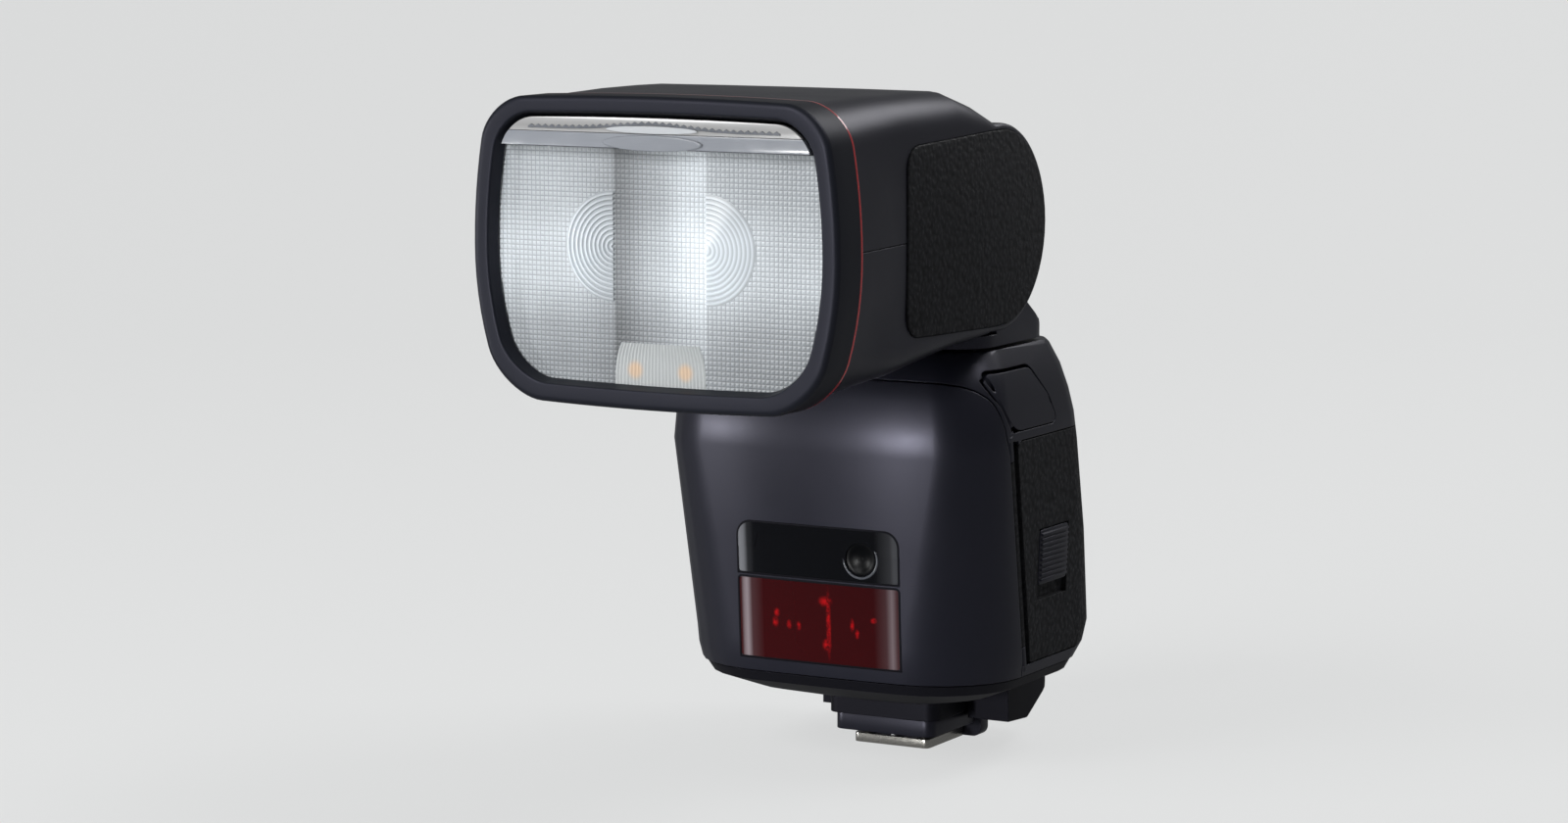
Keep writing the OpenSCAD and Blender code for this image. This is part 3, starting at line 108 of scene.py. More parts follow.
# Camera in degrees and millimetres: turn, rise and roll, aim and distance, shift to the right and up, lens
CAMERA_TURN, CAMERA_RISE, CAMERA_ROLL = 29.286, 7.459, 0.113
CAMERA_AIM, CAMERA_DISTANCE = (0, -35, 75), 909.1
CAMERA_RIGHT, CAMERA_UP = -10.852, 2.703
CAMERA_LENS, CAMERA_SENSOR = 97.245, 36
SWEEP_TURN = 29.3

# Lamps: name, place, aim, width, height, power in watts and spread in degrees
LAMPS = (
    ("key_softbox", (-0.5, -1.5, 1.1), (0, -0.06, 0.11), 0.8, 0.8, 21, 180),
    ("front_strip", (-0.1, -1.02, 0.08), (0, -0.04, 0.05), 0.07, 0.14, 0.42, 60),
    ("left_strip", (-0.85, -0.64, 0.08), (0, -0.04, 0.05), 0.07, 0.14, 0.3, 60),
    ("top_softbox", (0.7, 0.35, 1.3), (0.03, -0.06, 0.14), 0.7, 0.4, 7, 180),
    ("rear_softbox", (0.35, 1.05, 0.95), (0, 0, 0.09), 0.7, 0.5, 3.5, 180),
)


def linear(colour):
    """Turns an sRGB hex colour into Blender's linear red, green, blue and alpha."""
    parts = [int(colour[i : i + 2], 16) / 255 for i in (1, 3, 5)]
    return [c / 12.92 if c <= 0.04045 else ((c + 0.055) / 1.055) ** 2.4 for c in parts] + [1.0]


def colour_property(name, description, colour):
    """One colour that a user may change."""
    return FloatVectorProperty(
        name=name, description=description, subtype="COLOR", size=4, min=0, max=1, default=linear(colour)
    )


def size_property(name, description, millimetres):
    """One length that a user may change."""
    return FloatProperty(
        name=name, description=description, default=millimetres * MM, min=0, precision=5, unit="LENGTH"
    )


class FlashSizes(bpy.types.PropertyGroup):
    prism_pitch: size_property("Prism pitch", "Side of one square prism of the front lens", 1.0)
    prism_rise: size_property("Prism rise", "Height of one prism of the front lens", 0.2)
    disc_place: size_property("Disc place", "Distance of each half disc of ring prisms from the middle", 10.7)
    disc_rise: size_property("Disc rise", "Height of the half discs above the middle of the bare lens", 4.0)
    disc_radius: size_property("Disc radius", "Radius of the half discs of ring prisms", 11.4)
    lamp_width: size_property("Lamp window width", "Width of the ribbed lamp window in the lens", 21.0)
    lamp_height: size_property("Lamp window height", "Height of the ribbed lamp window in the lens", 8.4)
    lamp_spread: size_property("Lamp spread", "Distance of each lamp from the middle", 5.8)
    bezel_round: size_property("Bezel round", "Rounded outer edge of the bezel", 1.3)
    ring_steps: IntProperty(
        name="Ring steps", description="Faces round a quarter of a rounded form", default=12, min=4, max=32
    )


class FlashColours(bpy.types.PropertyGroup):
    housing: colour_property("Housing", "Moulded covers and shells", "#11121a")
    bezel: colour_property("Bezel", "Frame round the lens", "#14161c")
    grip: colour_property("Grip", "Pebbled pads and battery door", "#14151a")
    accent: colour_property("Accent", "Thin ring behind the bezel", "#a5141c")
    lens: colour_property("Lens", "Moulded prisms of the front lens", "#e3eaf0")
    panel: colour_property("Panel", "Slide-out catchlight panel", "#e9eaea")
    filter: colour_property("Filter", "Focus-aid window", "#330306")
    nickel: colour_property("Nickel", "Foot plate", "#b8b6b0")
    backdrop: colour_property("Backdrop", "Floor and backdrop of the stage", "#e4e5e5")


def sizes():
    return bpy.context.scene.flash_sizes


def colours():
    return bpy.context.scene.flash_colours


# Materials


def add(tree, kind, inputs=None, **settings):
    """Adds one shader node with its settings, and sets or links its inputs."""
    made = tree.nodes.new("ShaderNode" + kind)
    for field, value in settings.items():
        setattr(made, field, value)
    for name, value in (inputs or {}).items():
        if isinstance(value, bpy.types.NodeSocket):
            tree.links.new(value, made.inputs[name])
        else:
            made.inputs[name].default_value = value
    return made


def blank(name):
    """A new material with an empty node tree, and the Object coordinates that its patterns read."""
    material = bpy.data.materials.new(name)
    material.use_nodes = True
    tree = material.node_tree
    tree.nodes.clear()
    return material, tree, add(tree, "TexCoord").outputs["Object"]


def close(tree, **sockets):
    """Ends a tree with the main shader and the output."""
    shader = add(tree, "BsdfPrincipled", {name.replace("_", " "): value for name, value in sockets.items()})
    add(tree, "OutputMaterial", {"Surface": shader.outputs["BSDF"]})


def ray_share(tree, direct, mirrored):
    """One level for what is seen straight or through clear parts, and another for what is mirrored."""
    path = add(tree, "LightPath")
    seen = add(tree, "Math", {0: path.outputs["Is Camera Ray"], 1: path.outputs["Is Transmission Ray"]},
        operation="MAXIMUM")
    straight = add(tree, "Math", {0: seen.outputs["Value"], 1: direct}, operation="MULTIPLY")
    glossy = add(tree, "Math", {0: path.outputs["Is Glossy Ray"], 1: mirrored}, operation="MULTIPLY")
    both = add(tree, "Math", {0: straight.outputs["Value"], 1: glossy.outputs["Value"]}, operation="MAXIMUM")
    return both.outputs["Value"]


def graded(tree, value, stops, start=0.0, unit=MM):
    """Grey levels, as the eye sees them, at stops along a value, which are counted from start in units."""
    low, high = stops[0][0], stops[-1][0]
    run = add(tree, "MapRange", {
        "Value": value, "From Min": start + low * unit, "From Max": start + high * unit})
    ramp = add(tree, "ValToRGB", {"Fac": run.outputs["Result"]})
    steps = ramp.color_ramp.elements
    for _ in range(len(stops) - 2):
        steps.new(0.5)
    for step, (place, level) in zip(steps, stops):
        step.position = (place - low) / (high - low)
        step.color = (level ** 1.8,) * 3 + (1.0,)
    return ramp.outputs["Color"]


def textured_moulding(name, colour, roughness=0.36, sheen=0.5):
    # Plastic or rubber from a spark-eroded mould: an even fine grain that spreads a highlight into a satin
    # sheen. The real grain is near 0.1 mm and is drawn coarser, so that it still shows.
    material, tree, place = blank(name)
    grain = 0.4 * MM
    fine = add(tree, "TexNoise", {"Vector": place, "Scale": 1 / grain, "Detail": 3.0, "Roughness": 0.6})
    wide = add(tree, "TexNoise", {"Vector": place, "Scale": 1 / (22 * MM), "Detail": 4.0})
    gloss = add(tree, "MapRange", {
        "Value": wide.outputs["Fac"], "From Min": 0.3, "From Max": 0.7,
        "To Min": roughness - 0.03, "To Max": roughness + 0.04})
    edge = add(tree, "Bevel", {"Radius": 0.3 * MM}, samples=4)
    bump = add(tree, "Bump", {
        "Height": fine.outputs["Fac"], "Normal": edge.outputs["Normal"], "Strength": 0.16,
        "Distance": 0.06 * MM})
    close(tree, Base_Color=colour, Roughness=gloss.outputs["Result"], Specular_IOR_Level=sheen,
        Specular_Tint=linear("#e8e7ff"), Normal=bump.outputs["Normal"])
    return material


def pebbled_elastomer(name, colour):
    # Soft-touch moulding with a leather print: rounded pebbles that catch small matt glints, with a painted
    # highlight on their tops and painted shade in the creases between them.
    material, tree, place = blank(name)
    pebble = 1.15 * MM
    bend = add(tree, "TexNoise", {"Vector": place, "Scale": 1 / (2.2 * pebble), "Detail": 2.0})
    drift = add(tree, "VectorMath", {0: bend.outputs["Color"], 1: (0.9 * pebble,) * 3}, operation="MULTIPLY")
    moved = add(tree, "VectorMath", {0: place, 1: drift.outputs["Vector"]}, operation="ADD")
    cells = add(tree, "TexVoronoi", {"Vector": moved.outputs["Vector"], "Scale": 1 / pebble},
        feature="SMOOTH_F1")
    height = add(tree, "MapRange", {
        "Value": cells.outputs["Distance"], "From Min": 0.1, "From Max": 0.75, "To Min": 1.0, "To Max": 0.0})
    # Painted shade and highlight: the colour is darker in the creases and lighter on the pebble tops
    tone = add(tree, "MapRange", {"Value": height.outputs["Result"], "To Min": 0.45, "To Max": 1.15})
    shade = add(tree, "VectorMath", {0: colour[:3], "Scale": tone.outputs["Result"]}, operation="SCALE")
    dull = add(tree, "MapRange", {"Value": height.outputs["Result"], "To Min": 0.85, "To Max": 0.5})
    edge = add(tree, "Bevel", {"Radius": 0.3 * MM}, samples=4)
    bump = add(tree, "Bump", {
        "Height": height.outputs["Result"], "Normal": edge.outputs["Normal"], "Strength": 0.8,
        "Distance": 0.22 * MM})
    close(tree, Base_Color=shade.outputs["Vector"], Roughness=dull.outputs["Result"], IOR=1.48,
        Specular_IOR_Level=0.35, Normal=bump.outputs["Normal"])
    return material


def polished_plastic(name, colour, roughness, coat, sheen=0.5):
    # Plastic, resin or glass from a polished mould: smooth reflections, with faint flow in the gloss.
    material, tree, place = blank(name)
    flow = add(tree, "TexNoise", {"Vector": place, "Scale": 1 / (9 * MM), "Detail": 2.0})
    gloss = add(tree, "MapRange", {
        "Value": flow.outputs["Fac"], "From Min": 0.3, "From Max": 0.7, "To Min": roughness * 0.7,
        "To Max": roughness * 1.4})
    edge = add(tree, "Bevel", {"Radius": 0.2 * MM}, samples=4)
    close(tree, Base_Color=colour, Roughness=gloss.outputs["Result"], IOR=1.49, Specular_IOR_Level=sheen,
        Coat_Weight=coat, Coat_Roughness=0.03, Normal=edge.outputs["Normal"])
    return material


def clear_plastic(name, colour, roughness, transmission, ripple=0.0):
    # Clear or milky acrylic, polycarbonate or glass: light passes and bends, edges gather brightness.
    material, tree, place = blank(name)
    flow = add(tree, "TexNoise", {"Vector": place, "Scale": 1 / (4 * MM), "Detail": 2.0})
    gloss = add(tree, "MapRange", {
        "Value": flow.outputs["Fac"], "From Min": 0.3, "From Max": 0.7, "To Min": roughness * 0.7,
        "To Max": roughness * 1.3})
    bump = add(tree, "Bump", {"Height": flow.outputs["Fac"], "Strength": ripple, "Distance": 0.3 * MM})
    close(tree, Base_Color=colour, Roughness=gloss.outputs["Result"], IOR=1.49,
        Transmission_Weight=transmission, Normal=bump.outputs["Normal"])
    return material


def lens_layout():
    """Plane of the prisms, height of the half discs, and middle, half sizes, counts and rim of the grid."""
    size = sizes()
    plane, tray = LENS_LOW.y + 0.4 * MM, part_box("panel_tray")[0].z
    ring = opening_ring(plane / MM, 1.3)
    half_x, half_z = max(p[0] for p in ring), (tray - min(p[2] for p in ring)) / 2
    counts = round(2 * half_x / size.prism_pitch), round(2 * half_z / size.prism_pitch)
    disc_mid = (OPENING_FOOT + tray) / 2 + size.disc_rise
    return plane, disc_mid, tray - half_z, (half_x, half_z), counts, ring


def prism_acrylic(name, colour, rings=False):
    # Moulded acrylic prisms over a bright reflector: silvery facets with painted shade in the roots
    # between them, and the reflector's light painted into the colour in the middle band and in the half
    # discs, brightest right of the middle.
    material, tree, place = blank(name)
    size, axes = sizes(), add(tree, "SeparateXYZ", {"Vector": place})
    _, disc_mid, grid_mid, halves, counts, _ = lens_layout()
    if rings:
        flat = add(tree, "VectorMath", {0: place, 1: (1, 0, 1)}, operation="MULTIPLY")
        side = add(tree, "VectorMath", {0: flat.outputs["Vector"]}, operation="ABSOLUTE")
        away = add(tree, "VectorMath", {0: side.outputs["Vector"], 1: (size.disc_place, 0, disc_mid)},
            operation="DISTANCE")
        wave = add(tree, "Math", {0: away.outputs["Value"], 1: size.prism_pitch / 2}, operation="PINGPONG")
        # Painted shade in the roots of the rings, lighter on their crests
        painted_root_shade = add(tree, "MapRange", {
            "Value": wave.outputs["Value"], "From Max": size.prism_pitch / 2, "To Min": 0.76,
            "To Max": 1.4}).outputs["Result"]
    else:
        flat = add(tree, "CombineXYZ", {"X": axes.outputs["X"], "Y": axes.outputs["Z"]})
        cells = [2 * half / count for half, count in zip(halves, counts)]
        grid = add(tree, "Mapping", {
            "Vector": flat.outputs["Vector"], "Scale": (1 / cells[0], 1 / cells[1], 1),
            "Location": (halves[0] / cells[0], (halves[1] - grid_mid) / cells[1], 0)})
        # Painted shade in the roots between the square prisms
        painted_root_shade = add(tree, "TexBrick", {
            "Vector": grid.outputs["Vector"], "Scale": 1.0, "Brick Width": 1.0, "Row Height": 1.0,
            "Mortar Size": 0.2, "Mortar Smooth": 1.0, "Color1": (1, 1, 1, 1), "Color2": (1, 1, 1, 1),
            "Mortar": (0.6, 0.6, 0.6, 1)}, offset=0.0).outputs["Color"]
    # Painted light of the reflector, across the lens and up it
    glow = graded(tree, axes.outputs["X"], (
        (-40, 0.95), (-36, 0.9), (-33, 0.84), (-20, 0.84), (-11, 0.7), (-10.2, 0.48), (-7.5, 0.55),
        (-3, 0.72), (1, 0.8), (5, 0.95), (8, 1.0), (10.4, 1.0), (11, 0.86), (20, 0.8), (40, 0.76)))
    painted_light_by_height = graded(tree, axes.outputs["Z"], (
        (0, 0.74), (0.12, 0.67), (0.28, 0.75), (0.45, 1.0), (0.65, 1.0), (0.8, 0.88), (1, 0.8)),
        LENS_LOW.z, LENS_HIGH.z - LENS_LOW.z)
    cloud = add(tree, "TexNoise", {"Vector": place, "Scale": 1 / (13 * MM), "Detail": 1.0})
    drift = add(tree, "MapRange", {
        "Value": cloud.outputs["Fac"], "From Min": 0.35, "From Max": 0.65, "To Min": 0.9, "To Max": 1.0})
    both = add(tree, "Math", {0: glow, 1: painted_light_by_height}, operation="MULTIPLY")
    even = add(tree, "Math", {0: both.outputs["Value"], 1: drift.outputs["Result"]}, operation="MULTIPLY")
    level = add(tree, "Math", {0: even.outputs["Value"], 1: painted_root_shade}, operation="MULTIPLY", use_clamp=True)
    shade = add(tree, "VectorMath", {0: colour[:3], "Scale": level.outputs["Value"]}, operation="SCALE")
    close(tree, Base_Color=shade.outputs["Vector"], Roughness=0.3, IOR=1.49)
    return material


def milky_lamp_window(name, colour):
    # Milky polycarbonate ribs in front of two amber lamps: a pale block with two warm soft spots.
    material, tree, place = blank(name)
    low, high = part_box("led_window")
    mid = (low.z + high.z) / 2
    spots = []
    for side in (-1, 1):
        away = add(tree, "VectorMath", {0: place, 1: (side * sizes().lamp_spread, LENS_LOW.y, mid)},
            operation="DISTANCE")
        spots.append(add(tree, "MapRange", {
            "Value": away.outputs["Value"], "From Min": 0.8 * MM, "From Max": 2.4 * MM, "To Min": 1.0,
            "To Max": 0.0}, interpolation_type="SMOOTHSTEP").outputs["Result"])
    warm = add(tree, "Math", {0: spots[0], 1: spots[1]}, operation="MAXIMUM")
    shade = add(tree, "Mix", {0: warm.outputs["Value"], 6: colour, 7: linear("#b99f84")}, data_type="RGBA")
    close(tree, Base_Color=shade.outputs[2], Roughness=0.3, IOR=1.58, Coat_Weight=0.3)
    return material


def smoked_window(name, colour):
    # Smoked acrylic from a polished mould: black and mirror-smooth, with pale reflections painted at both
    # ends.
    material, tree, place = blank(name)
    axes = add(tree, "SeparateXYZ", {"Vector": place})
    # Painted reflections: pale grey mixed into the colour towards both ends
    ends = graded(tree, axes.outputs["X"], (
        (-19, 0.55), (-18.2, 0.5), (-17.2, 0.16), (-15.5, 0.03), (-13, 0.0), (14, 0.0), (17.6, 0.2),
        (18.4, 0.3), (19, 0.3)))
    shade = add(tree, "Mix", {0: ends, 6: colour, 7: linear("#b4b6bd")}, data_type="RGBA")
    close(tree, Base_Color=shade.outputs[2], Roughness=0.08, IOR=1.49, Specular_IOR_Level=0.25)
    return material


def red_filter(name, colour):
    # Red filter acrylic: deep and glossy, with glints of the divider and the lamp domes behind it painted
    # into the colour, and pale reflections painted at its ends. Glints as place from the window's middle and
    # half size, in millimetres.
    material, tree, place = blank(name)
    low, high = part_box("af_window")
    mid = (low + high) / 2
    glow = None
    for x, z, wide, tall in (
            (2.5, 0, 0.55, 6.5), (1.8, 4.9, 1.5, 1.1), (2.0, -4.6, 1.0, 1.3), (-10.2, 1.5, 0.7, 0.9),
            (-10.6, -0.6, 0.7, 1.1), (-7.2, -0.9, 0.6, 0.9), (-4.8, -1.0, 0.5, 0.9), (8.2, 0.2, 0.5, 1.3),
            (9.4, -1.6, 0.5, 1.0), (13.4, 1.6, 0.7, 0.6)):
        across, up = 1 / (wide * MM), 1 / (tall * MM)
        near = add(tree, "Mapping", {
            "Vector": place, "Scale": (across, 0, up),
            "Location": (-(mid.x + x * MM) * across, 0, -(mid.z + z * MM) * up)})
        away = add(tree, "VectorMath", {0: near.outputs["Vector"]}, operation="LENGTH")
        spot = add(tree, "MapRange", {
            "Value": away.outputs["Value"], "From Min": 0.0, "From Max": 1.4, "To Min": 1.0, "To Max": 0.0},
            interpolation_type="SMOOTHSTEP").outputs["Result"]
        glow = add(tree, "Math", {0: glow, 1: spot}, operation="MAXIMUM").outputs["Value"] if glow else spot
    broken = add(tree, "TexNoise", {"Vector": place, "Scale": 1 / (0.9 * MM), "Detail": 3.0})
    part = add(tree, "MapRange", {
        "Value": broken.outputs["Fac"], "From Min": 0.35, "From Max": 0.6, "To Min": 0.15, "To Max": 1.0})
    # Painted glints: bright red mixed into the colour at the glints
    glint = add(tree, "Math", {0: glow, 1: part.outputs["Result"]}, operation="MULTIPLY")
    lamp = add(tree, "Mix", {0: glint.outputs["Value"], 6: colour, 7: linear("#b00d13")}, data_type="RGBA")
    axes = add(tree, "SeparateXYZ", {"Vector": place})
    # Painted reflections: pale grey mixed into the colour towards both ends
    ends = graded(tree, axes.outputs["X"], (
        (-19, 0.1), (-18.4, 0.5), (-17.6, 0.66), (-16.4, 0.2), (-13.5, 0.0), (13.5, 0.0), (16.4, 0.2),
        (17.8, 0.5), (19, 0.2)))
    shade = add(tree, "Mix", {0: ends, 6: lamp.outputs[2], 7: linear("#b9b0b6")}, data_type="RGBA")
    close(tree, Base_Color=shade.outputs[2], Roughness=0.06, IOR=1.49, Specular_IOR_Level=0.25,
        Transmission_Weight=0.1)
    return material


def panel_edge(name):
    # Front edge of the catchlight panel: frosted grey acrylic in faint bands up its height, with a white
    # highlight painted along its upper rim.
    material, tree, place = blank(name)
    axes = add(tree, "SeparateXYZ", {"Vector": place})
    foot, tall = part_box("catchlight_panel")[1].z - 2 * MM, 3.2 * MM
    # Grey by height, with the painted highlight at the top
    level = graded(tree, axes.outputs["Z"], (
        (0, 0.56), (0.3, 0.5), (0.6, 0.54), (0.78, 0.6), (0.84, 0.9), (1, 0.9)), foot, tall)
    flow = add(tree, "TexNoise", {"Vector": place, "Scale": 1 / (5 * MM), "Detail": 2.0})
    gloss = add(tree, "MapRange", {"Value": flow.outputs["Fac"], "To Min": 0.15, "To Max": 0.3})
    close(tree, Base_Color=level, Roughness=gloss.outputs["Result"], IOR=1.49, Transmission_Weight=0.1)
    return material


def plated_metal(name, colour, roughness=0.24):
    # Drawn, ground, plated or blackened metal: fine lines that run front to back stretch its highlights.
    material, tree, place = blank(name)
    lines = 0.12 * MM
    stretch = add(tree, "Mapping", {"Vector": place, "Scale": (1 / lines, 0.03 / lines, 1 / lines)})
    drawn = add(tree, "TexNoise", {"Vector": stretch.outputs["Vector"], "Scale": 1.0, "Detail": 3.0})
    gloss = add(tree, "MapRange", {
        "Value": drawn.outputs["Fac"], "From Min": 0.3, "From Max": 0.7, "To Min": roughness - 0.07,
        "To Max": roughness + 0.1})
    edge = add(tree, "Bevel", {"Radius": 0.2 * MM}, samples=4)
    bump = add(tree, "Bump", {
        "Height": drawn.outputs["Fac"], "Normal": edge.outputs["Normal"], "Strength": 0.12,
        "Distance": 0.03 * MM})
    close(tree, Base_Color=colour, Roughness=gloss.outputs["Result"], Metallic=1.0,
        Normal=bump.outputs["Normal"])
    return material


def solder_mask(name, colour, track):
    # Circuit board under solder mask: satin, with the faint relief and paler colour of its copper tracks.
    material, tree, place = blank(name)
    tracks = add(tree, "TexBrick", {
        "Vector": place, "Scale": 1 / (6 * MM), "Mortar Size": 0.04, "Color1": (0, 0, 0, 1),
        "Color2": (0, 0, 0, 1), "Mortar": (1, 1, 1, 1)})
    shade = add(tree, "Mix", {0: tracks.outputs["Color"], 6: colour, 7: track}, data_type="RGBA")
    bump = add(tree, "Bump", {"Height": tracks.outputs["Color"], "Strength": 0.3, "Distance": 0.05 * MM})
    close(tree, Base_Color=shade.outputs[2], Roughness=0.38, Normal=bump.outputs["Normal"])
    return material


def painted_sweep(name, colour):
    # Matt painted sweep: for the camera it is partly self-lit, so it stays pale and keeps the soft shadow.
    material, tree, _ = blank(name)
    mirrored = add(tree, "LightPath").outputs["Is Glossy Ray"]
    tone = add(tree, "Mix", {0: mirrored, 6: colour, 7: linear("#3c3d3f")}, data_type="RGBA")
    paint = add(tree, "BsdfDiffuse", {"Color": tone.outputs[2]})
    glow = add(tree, "Emission", {"Color": colour, "Strength": 1.0})
    both = add(tree, "MixShader", {
        0: ray_share(tree, 0.8, 0.22), 1: paint.outputs["BSDF"], 2: glow.outputs["Emission"]})
    add(tree, "OutputMaterial", {"Surface": both.outputs["Shader"]})
    return material


def finishes():
    """Maker of the material of each slot of the record, and what the maker is given."""
    shades = colours()
    return {
        "housing": (textured_moulding, "spark_eroded_abs", shades.housing),
        "grip": (pebbled_elastomer, "pebbled_elastomer", shades.grip),
        "accent": (polished_plastic, "red_lacquered_abs", shades.accent, 0.16, 0.8),
        "clear_optic": (clear_plastic, "frosted_acrylic", linear("#e4e8ea"), 0.18, 0.55, 0.2),
        "white_panel": (polished_plastic, "white_gloss_abs", shades.panel, 0.2, 0.3),
        "led_frame": (clear_plastic, "milky_polycarbonate", linear("#e9e6dd"), 0.35, 0.3),
        "led_lamp": (polished_plastic, "amber_lamp_resin", linear("#e2b56c"), 0.15, 0.3),
        "smoked": (polished_plastic, "smoked_acrylic", linear("#06070b"), 0.18, 0.0, 0.35),
        "sensor_glass": (polished_plastic, "coated_dark_glass", linear("#030406"), 0.3, 0.0, 0.12),
        "red_filter": (red_filter, "red_filter_acrylic", shades.filter),
        "lamp_red": (polished_plastic, "red_lamp_resin", linear("#c8161c"), 0.12, 0.5),
        "display": (polished_plastic, "display_glass", linear("#8c957f"), 0.1, 0.5),
        "board": (solder_mask, "green_solder_mask", linear("#16522a"), linear("#3f7a4d")),
        "inner": (textured_moulding, "unpainted_dark_abs", linear("#2b2c30"), 0.55),
        "pack": (textured_moulding, "battery_case_abs", linear("#33353a"), 0.5),
        "can": (polished_plastic, "shrink_sleeve", linear("#1d2540"), 0.3, 0.2),
        "steel": (plated_metal, "ground_steel", linear("#a6a7a9"), 0.3),
        "foot_metal": (plated_metal, "nickel_plated_steel", shades.nickel),
        "contact": (plated_metal, "gold_flashed_brass", linear("#d0b266"), 0.2),
        "bush": (plated_metal, "sintered_bronze", linear("#a98a4c"), 0.45),
        "mirror_sheet": (plated_metal, "bright_anodised_aluminium", linear("#dadcde"), 0.12),
        "quartz": (clear_plastic, "quartz_glass", linear("#f2f4f7"), 0.02, 0.95),
        "keys": (textured_moulding, "key_cap_abs", linear("#24252b"), 0.36),
        "pilot": (clear_plastic, "amber_milky_acrylic", linear("#c69a63"), 0.3, 0.2),
    }


MATERIALS = {}


def finish_of(slot):
    """Material of a slot, made once."""
    if slot not in MATERIALS:
        maker, *given = finishes()[slot]
        MATERIALS[slot] = maker(*given)
    return MATERIALS[slot]


# Meshes


def arc(centre, radius, start, end, steps):
    """Points on an arc in a plane, from one angle to another in degrees."""
    turns = [math.radians(start + (end - start) * i / steps) for i in range(steps + 1)]
    return [(centre[0] + radius * math.cos(a), centre[1] + radius * math.sin(a)) for a in turns]


def between(a, b, steps):
    """Inner points of the straight run from a to b."""
    return [(a[0] + (b[0] - a[0]) * i / steps, a[1] + (b[1] - a[1]) * i / steps) for i in range(1, steps)]


def rounded_outline(corners, steps, runs):
    """Closed outline of corners, as centre, radius and first angle, with a run of steps after each."""
    bends = [arc(c, radius, start, start + 90, steps) if radius else [c] for c, radius, start in corners]
    line = []
    for bend, after, run in zip(bends, bends[1:] + bends[:1], runs):
        line += bend + between(bend[-1], after[0], run)
    return line


def upright(centre, halves):
    """Placing of a flat form of unit size: stretched to its half sizes and turned to face forward."""
    stretch = Matrix.Diagonal((*halves, 1, 1))
    return Matrix.Translation(centre) @ Matrix.Rotation(math.pi / 2, 4, "X") @ stretch


def loop_through(shape, points):
    """Adds a closed loop of edges through points."""
    corners = [shape.verts.new(p) for p in points]
    return [shape.edges.new(pair) for pair in zip(corners, corners[1:] + corners[:1])]


def skin(shape, loops, closed=False):
    """Bridges loops in order, back to the first one where closed."""
    for first, second in zip(loops, loops[1:] + (loops[:1] if closed else [])):
        bmesh.ops.bridge_loops(shape, edges=first + second)
    bmesh.ops.recalc_face_normals(shape, faces=shape.faces)


def thicken(shape, depth):
    """Makes a closed plate of a sheet by a copy of its faces moved back by a depth, and walls between."""
    made = bmesh.ops.extrude_face_region(shape, geom=shape.faces[:], use_keep_orig=True)
    moved = [g for g in made["geom"] if isinstance(g, bmesh.types.BMVert)]
    bmesh.ops.translate(shape, verts=moved, vec=(0, depth, 0))
    bmesh.ops.recalc_face_normals(shape, faces=shape.faces)


def round_edges(shape, edges, radius, segments=2):
    """Rounds edges off."""
    bmesh.ops.bevel(shape, geom=edges, offset=radius, offset_type="OFFSET", segments=segments, profile=0.5,
        affect="EDGES", clamp_overlap=True, material=-1)


def cut_off(shape, level, way):
    """Takes away what lies above a level, or below it where way is -1, and gives the edges of the cut."""
    made = bmesh.ops.bisect_plane(shape, geom=shape.verts[:] + shape.edges[:] + shape.faces[:], dist=1e-7,
        plane_co=(0, 0, level), plane_no=(0, 0, way), clear_outer=True)
    return [g for g in made["geom_cut"] if isinstance(g, bmesh.types.BMEdge)]


def mark_edges(shape, sharp):
    """Smooth faces, with the edges that turn more than sharp degrees kept as edges."""
    for face in shape.faces:
        face.smooth = True
    for edge in shape.edges:
        edge.smooth = edge.calc_face_angle(math.pi) < math.radians(sharp)


def settle(name, shape, node, material, stands_in=False, form=None):
    """Makes a piece of a mesh with a material, in the body of a node, which it may stand in for."""
    mesh = bpy.data.meshes.new(name)
    shape.to_mesh(mesh)
    shape.free()
    mesh.materials.append(material)
    if form:
        follow(mesh, form)
    piece = bpy.data.objects.new(name, mesh)
    bpy.context.scene.collection.objects.link(piece)
    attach(piece, BODY_OF[node])
    if stands_in:
        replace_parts(piece, node)


def copy_of(node):
    """A merged copy of a CAD node's mesh."""
    shape = bmesh.new()
    shape.from_mesh(frame["nodes"][node].data)
    bmesh.ops.remove_doubles(shape, verts=shape.verts, dist=0.002 * MM)
    return shape


def dress(node, material=None, rim=0.0, form=None):
    """Stands a smoothed copy of a CAD node in for it, with rounded edges where rim is given."""
    shape, sharp = copy_of(node), 32
    if rim:
        bmesh.ops.dissolve_limit(shape, angle_limit=math.radians(0.3), verts=shape.verts, edges=shape.edges)
        round_edges(shape, [e for e in shape.edges if e.calc_face_angle(0) > math.radians(sharp)], rim)
        sharp = 48
    mark_edges(shape, sharp)
    settle(node + "_finish", shape, node, material or finish_of(SLOT_OF[node]), True, form)


def follow(mesh, form):
    """Gives a moulding's outer faces the normals of the form that it is cut from, fuller by its crown."""
    tree, shape, crown = form
    near, aligned = 0.5 * MM, 0.86
    normals = [corner.vector.copy() for corner in mesh.corner_normals]
    for face in mesh.polygons:
        spot, facing, index, gap = tree.find_nearest(face.center)
        if gap > near or facing.dot(face.normal) < aligned:
            continue
        for corner in face.loop_indices:
            spot, facing, index, gap = tree.find_nearest(mesh.vertices[mesh.loops[corner].vertex_index].co)
            around = shape.faces[index].verts
            shares = poly_3d_calc([v.co for v in around], spot)
            normal = sum((v.normal * s for v, s in zip(around, shares)), Vector())
            normal.x += crown * spot.x * max(0.0, -normal.y) ** 2
            normals[corner] = normal.normalized()
    mesh.normals_split_custom_set(normals)


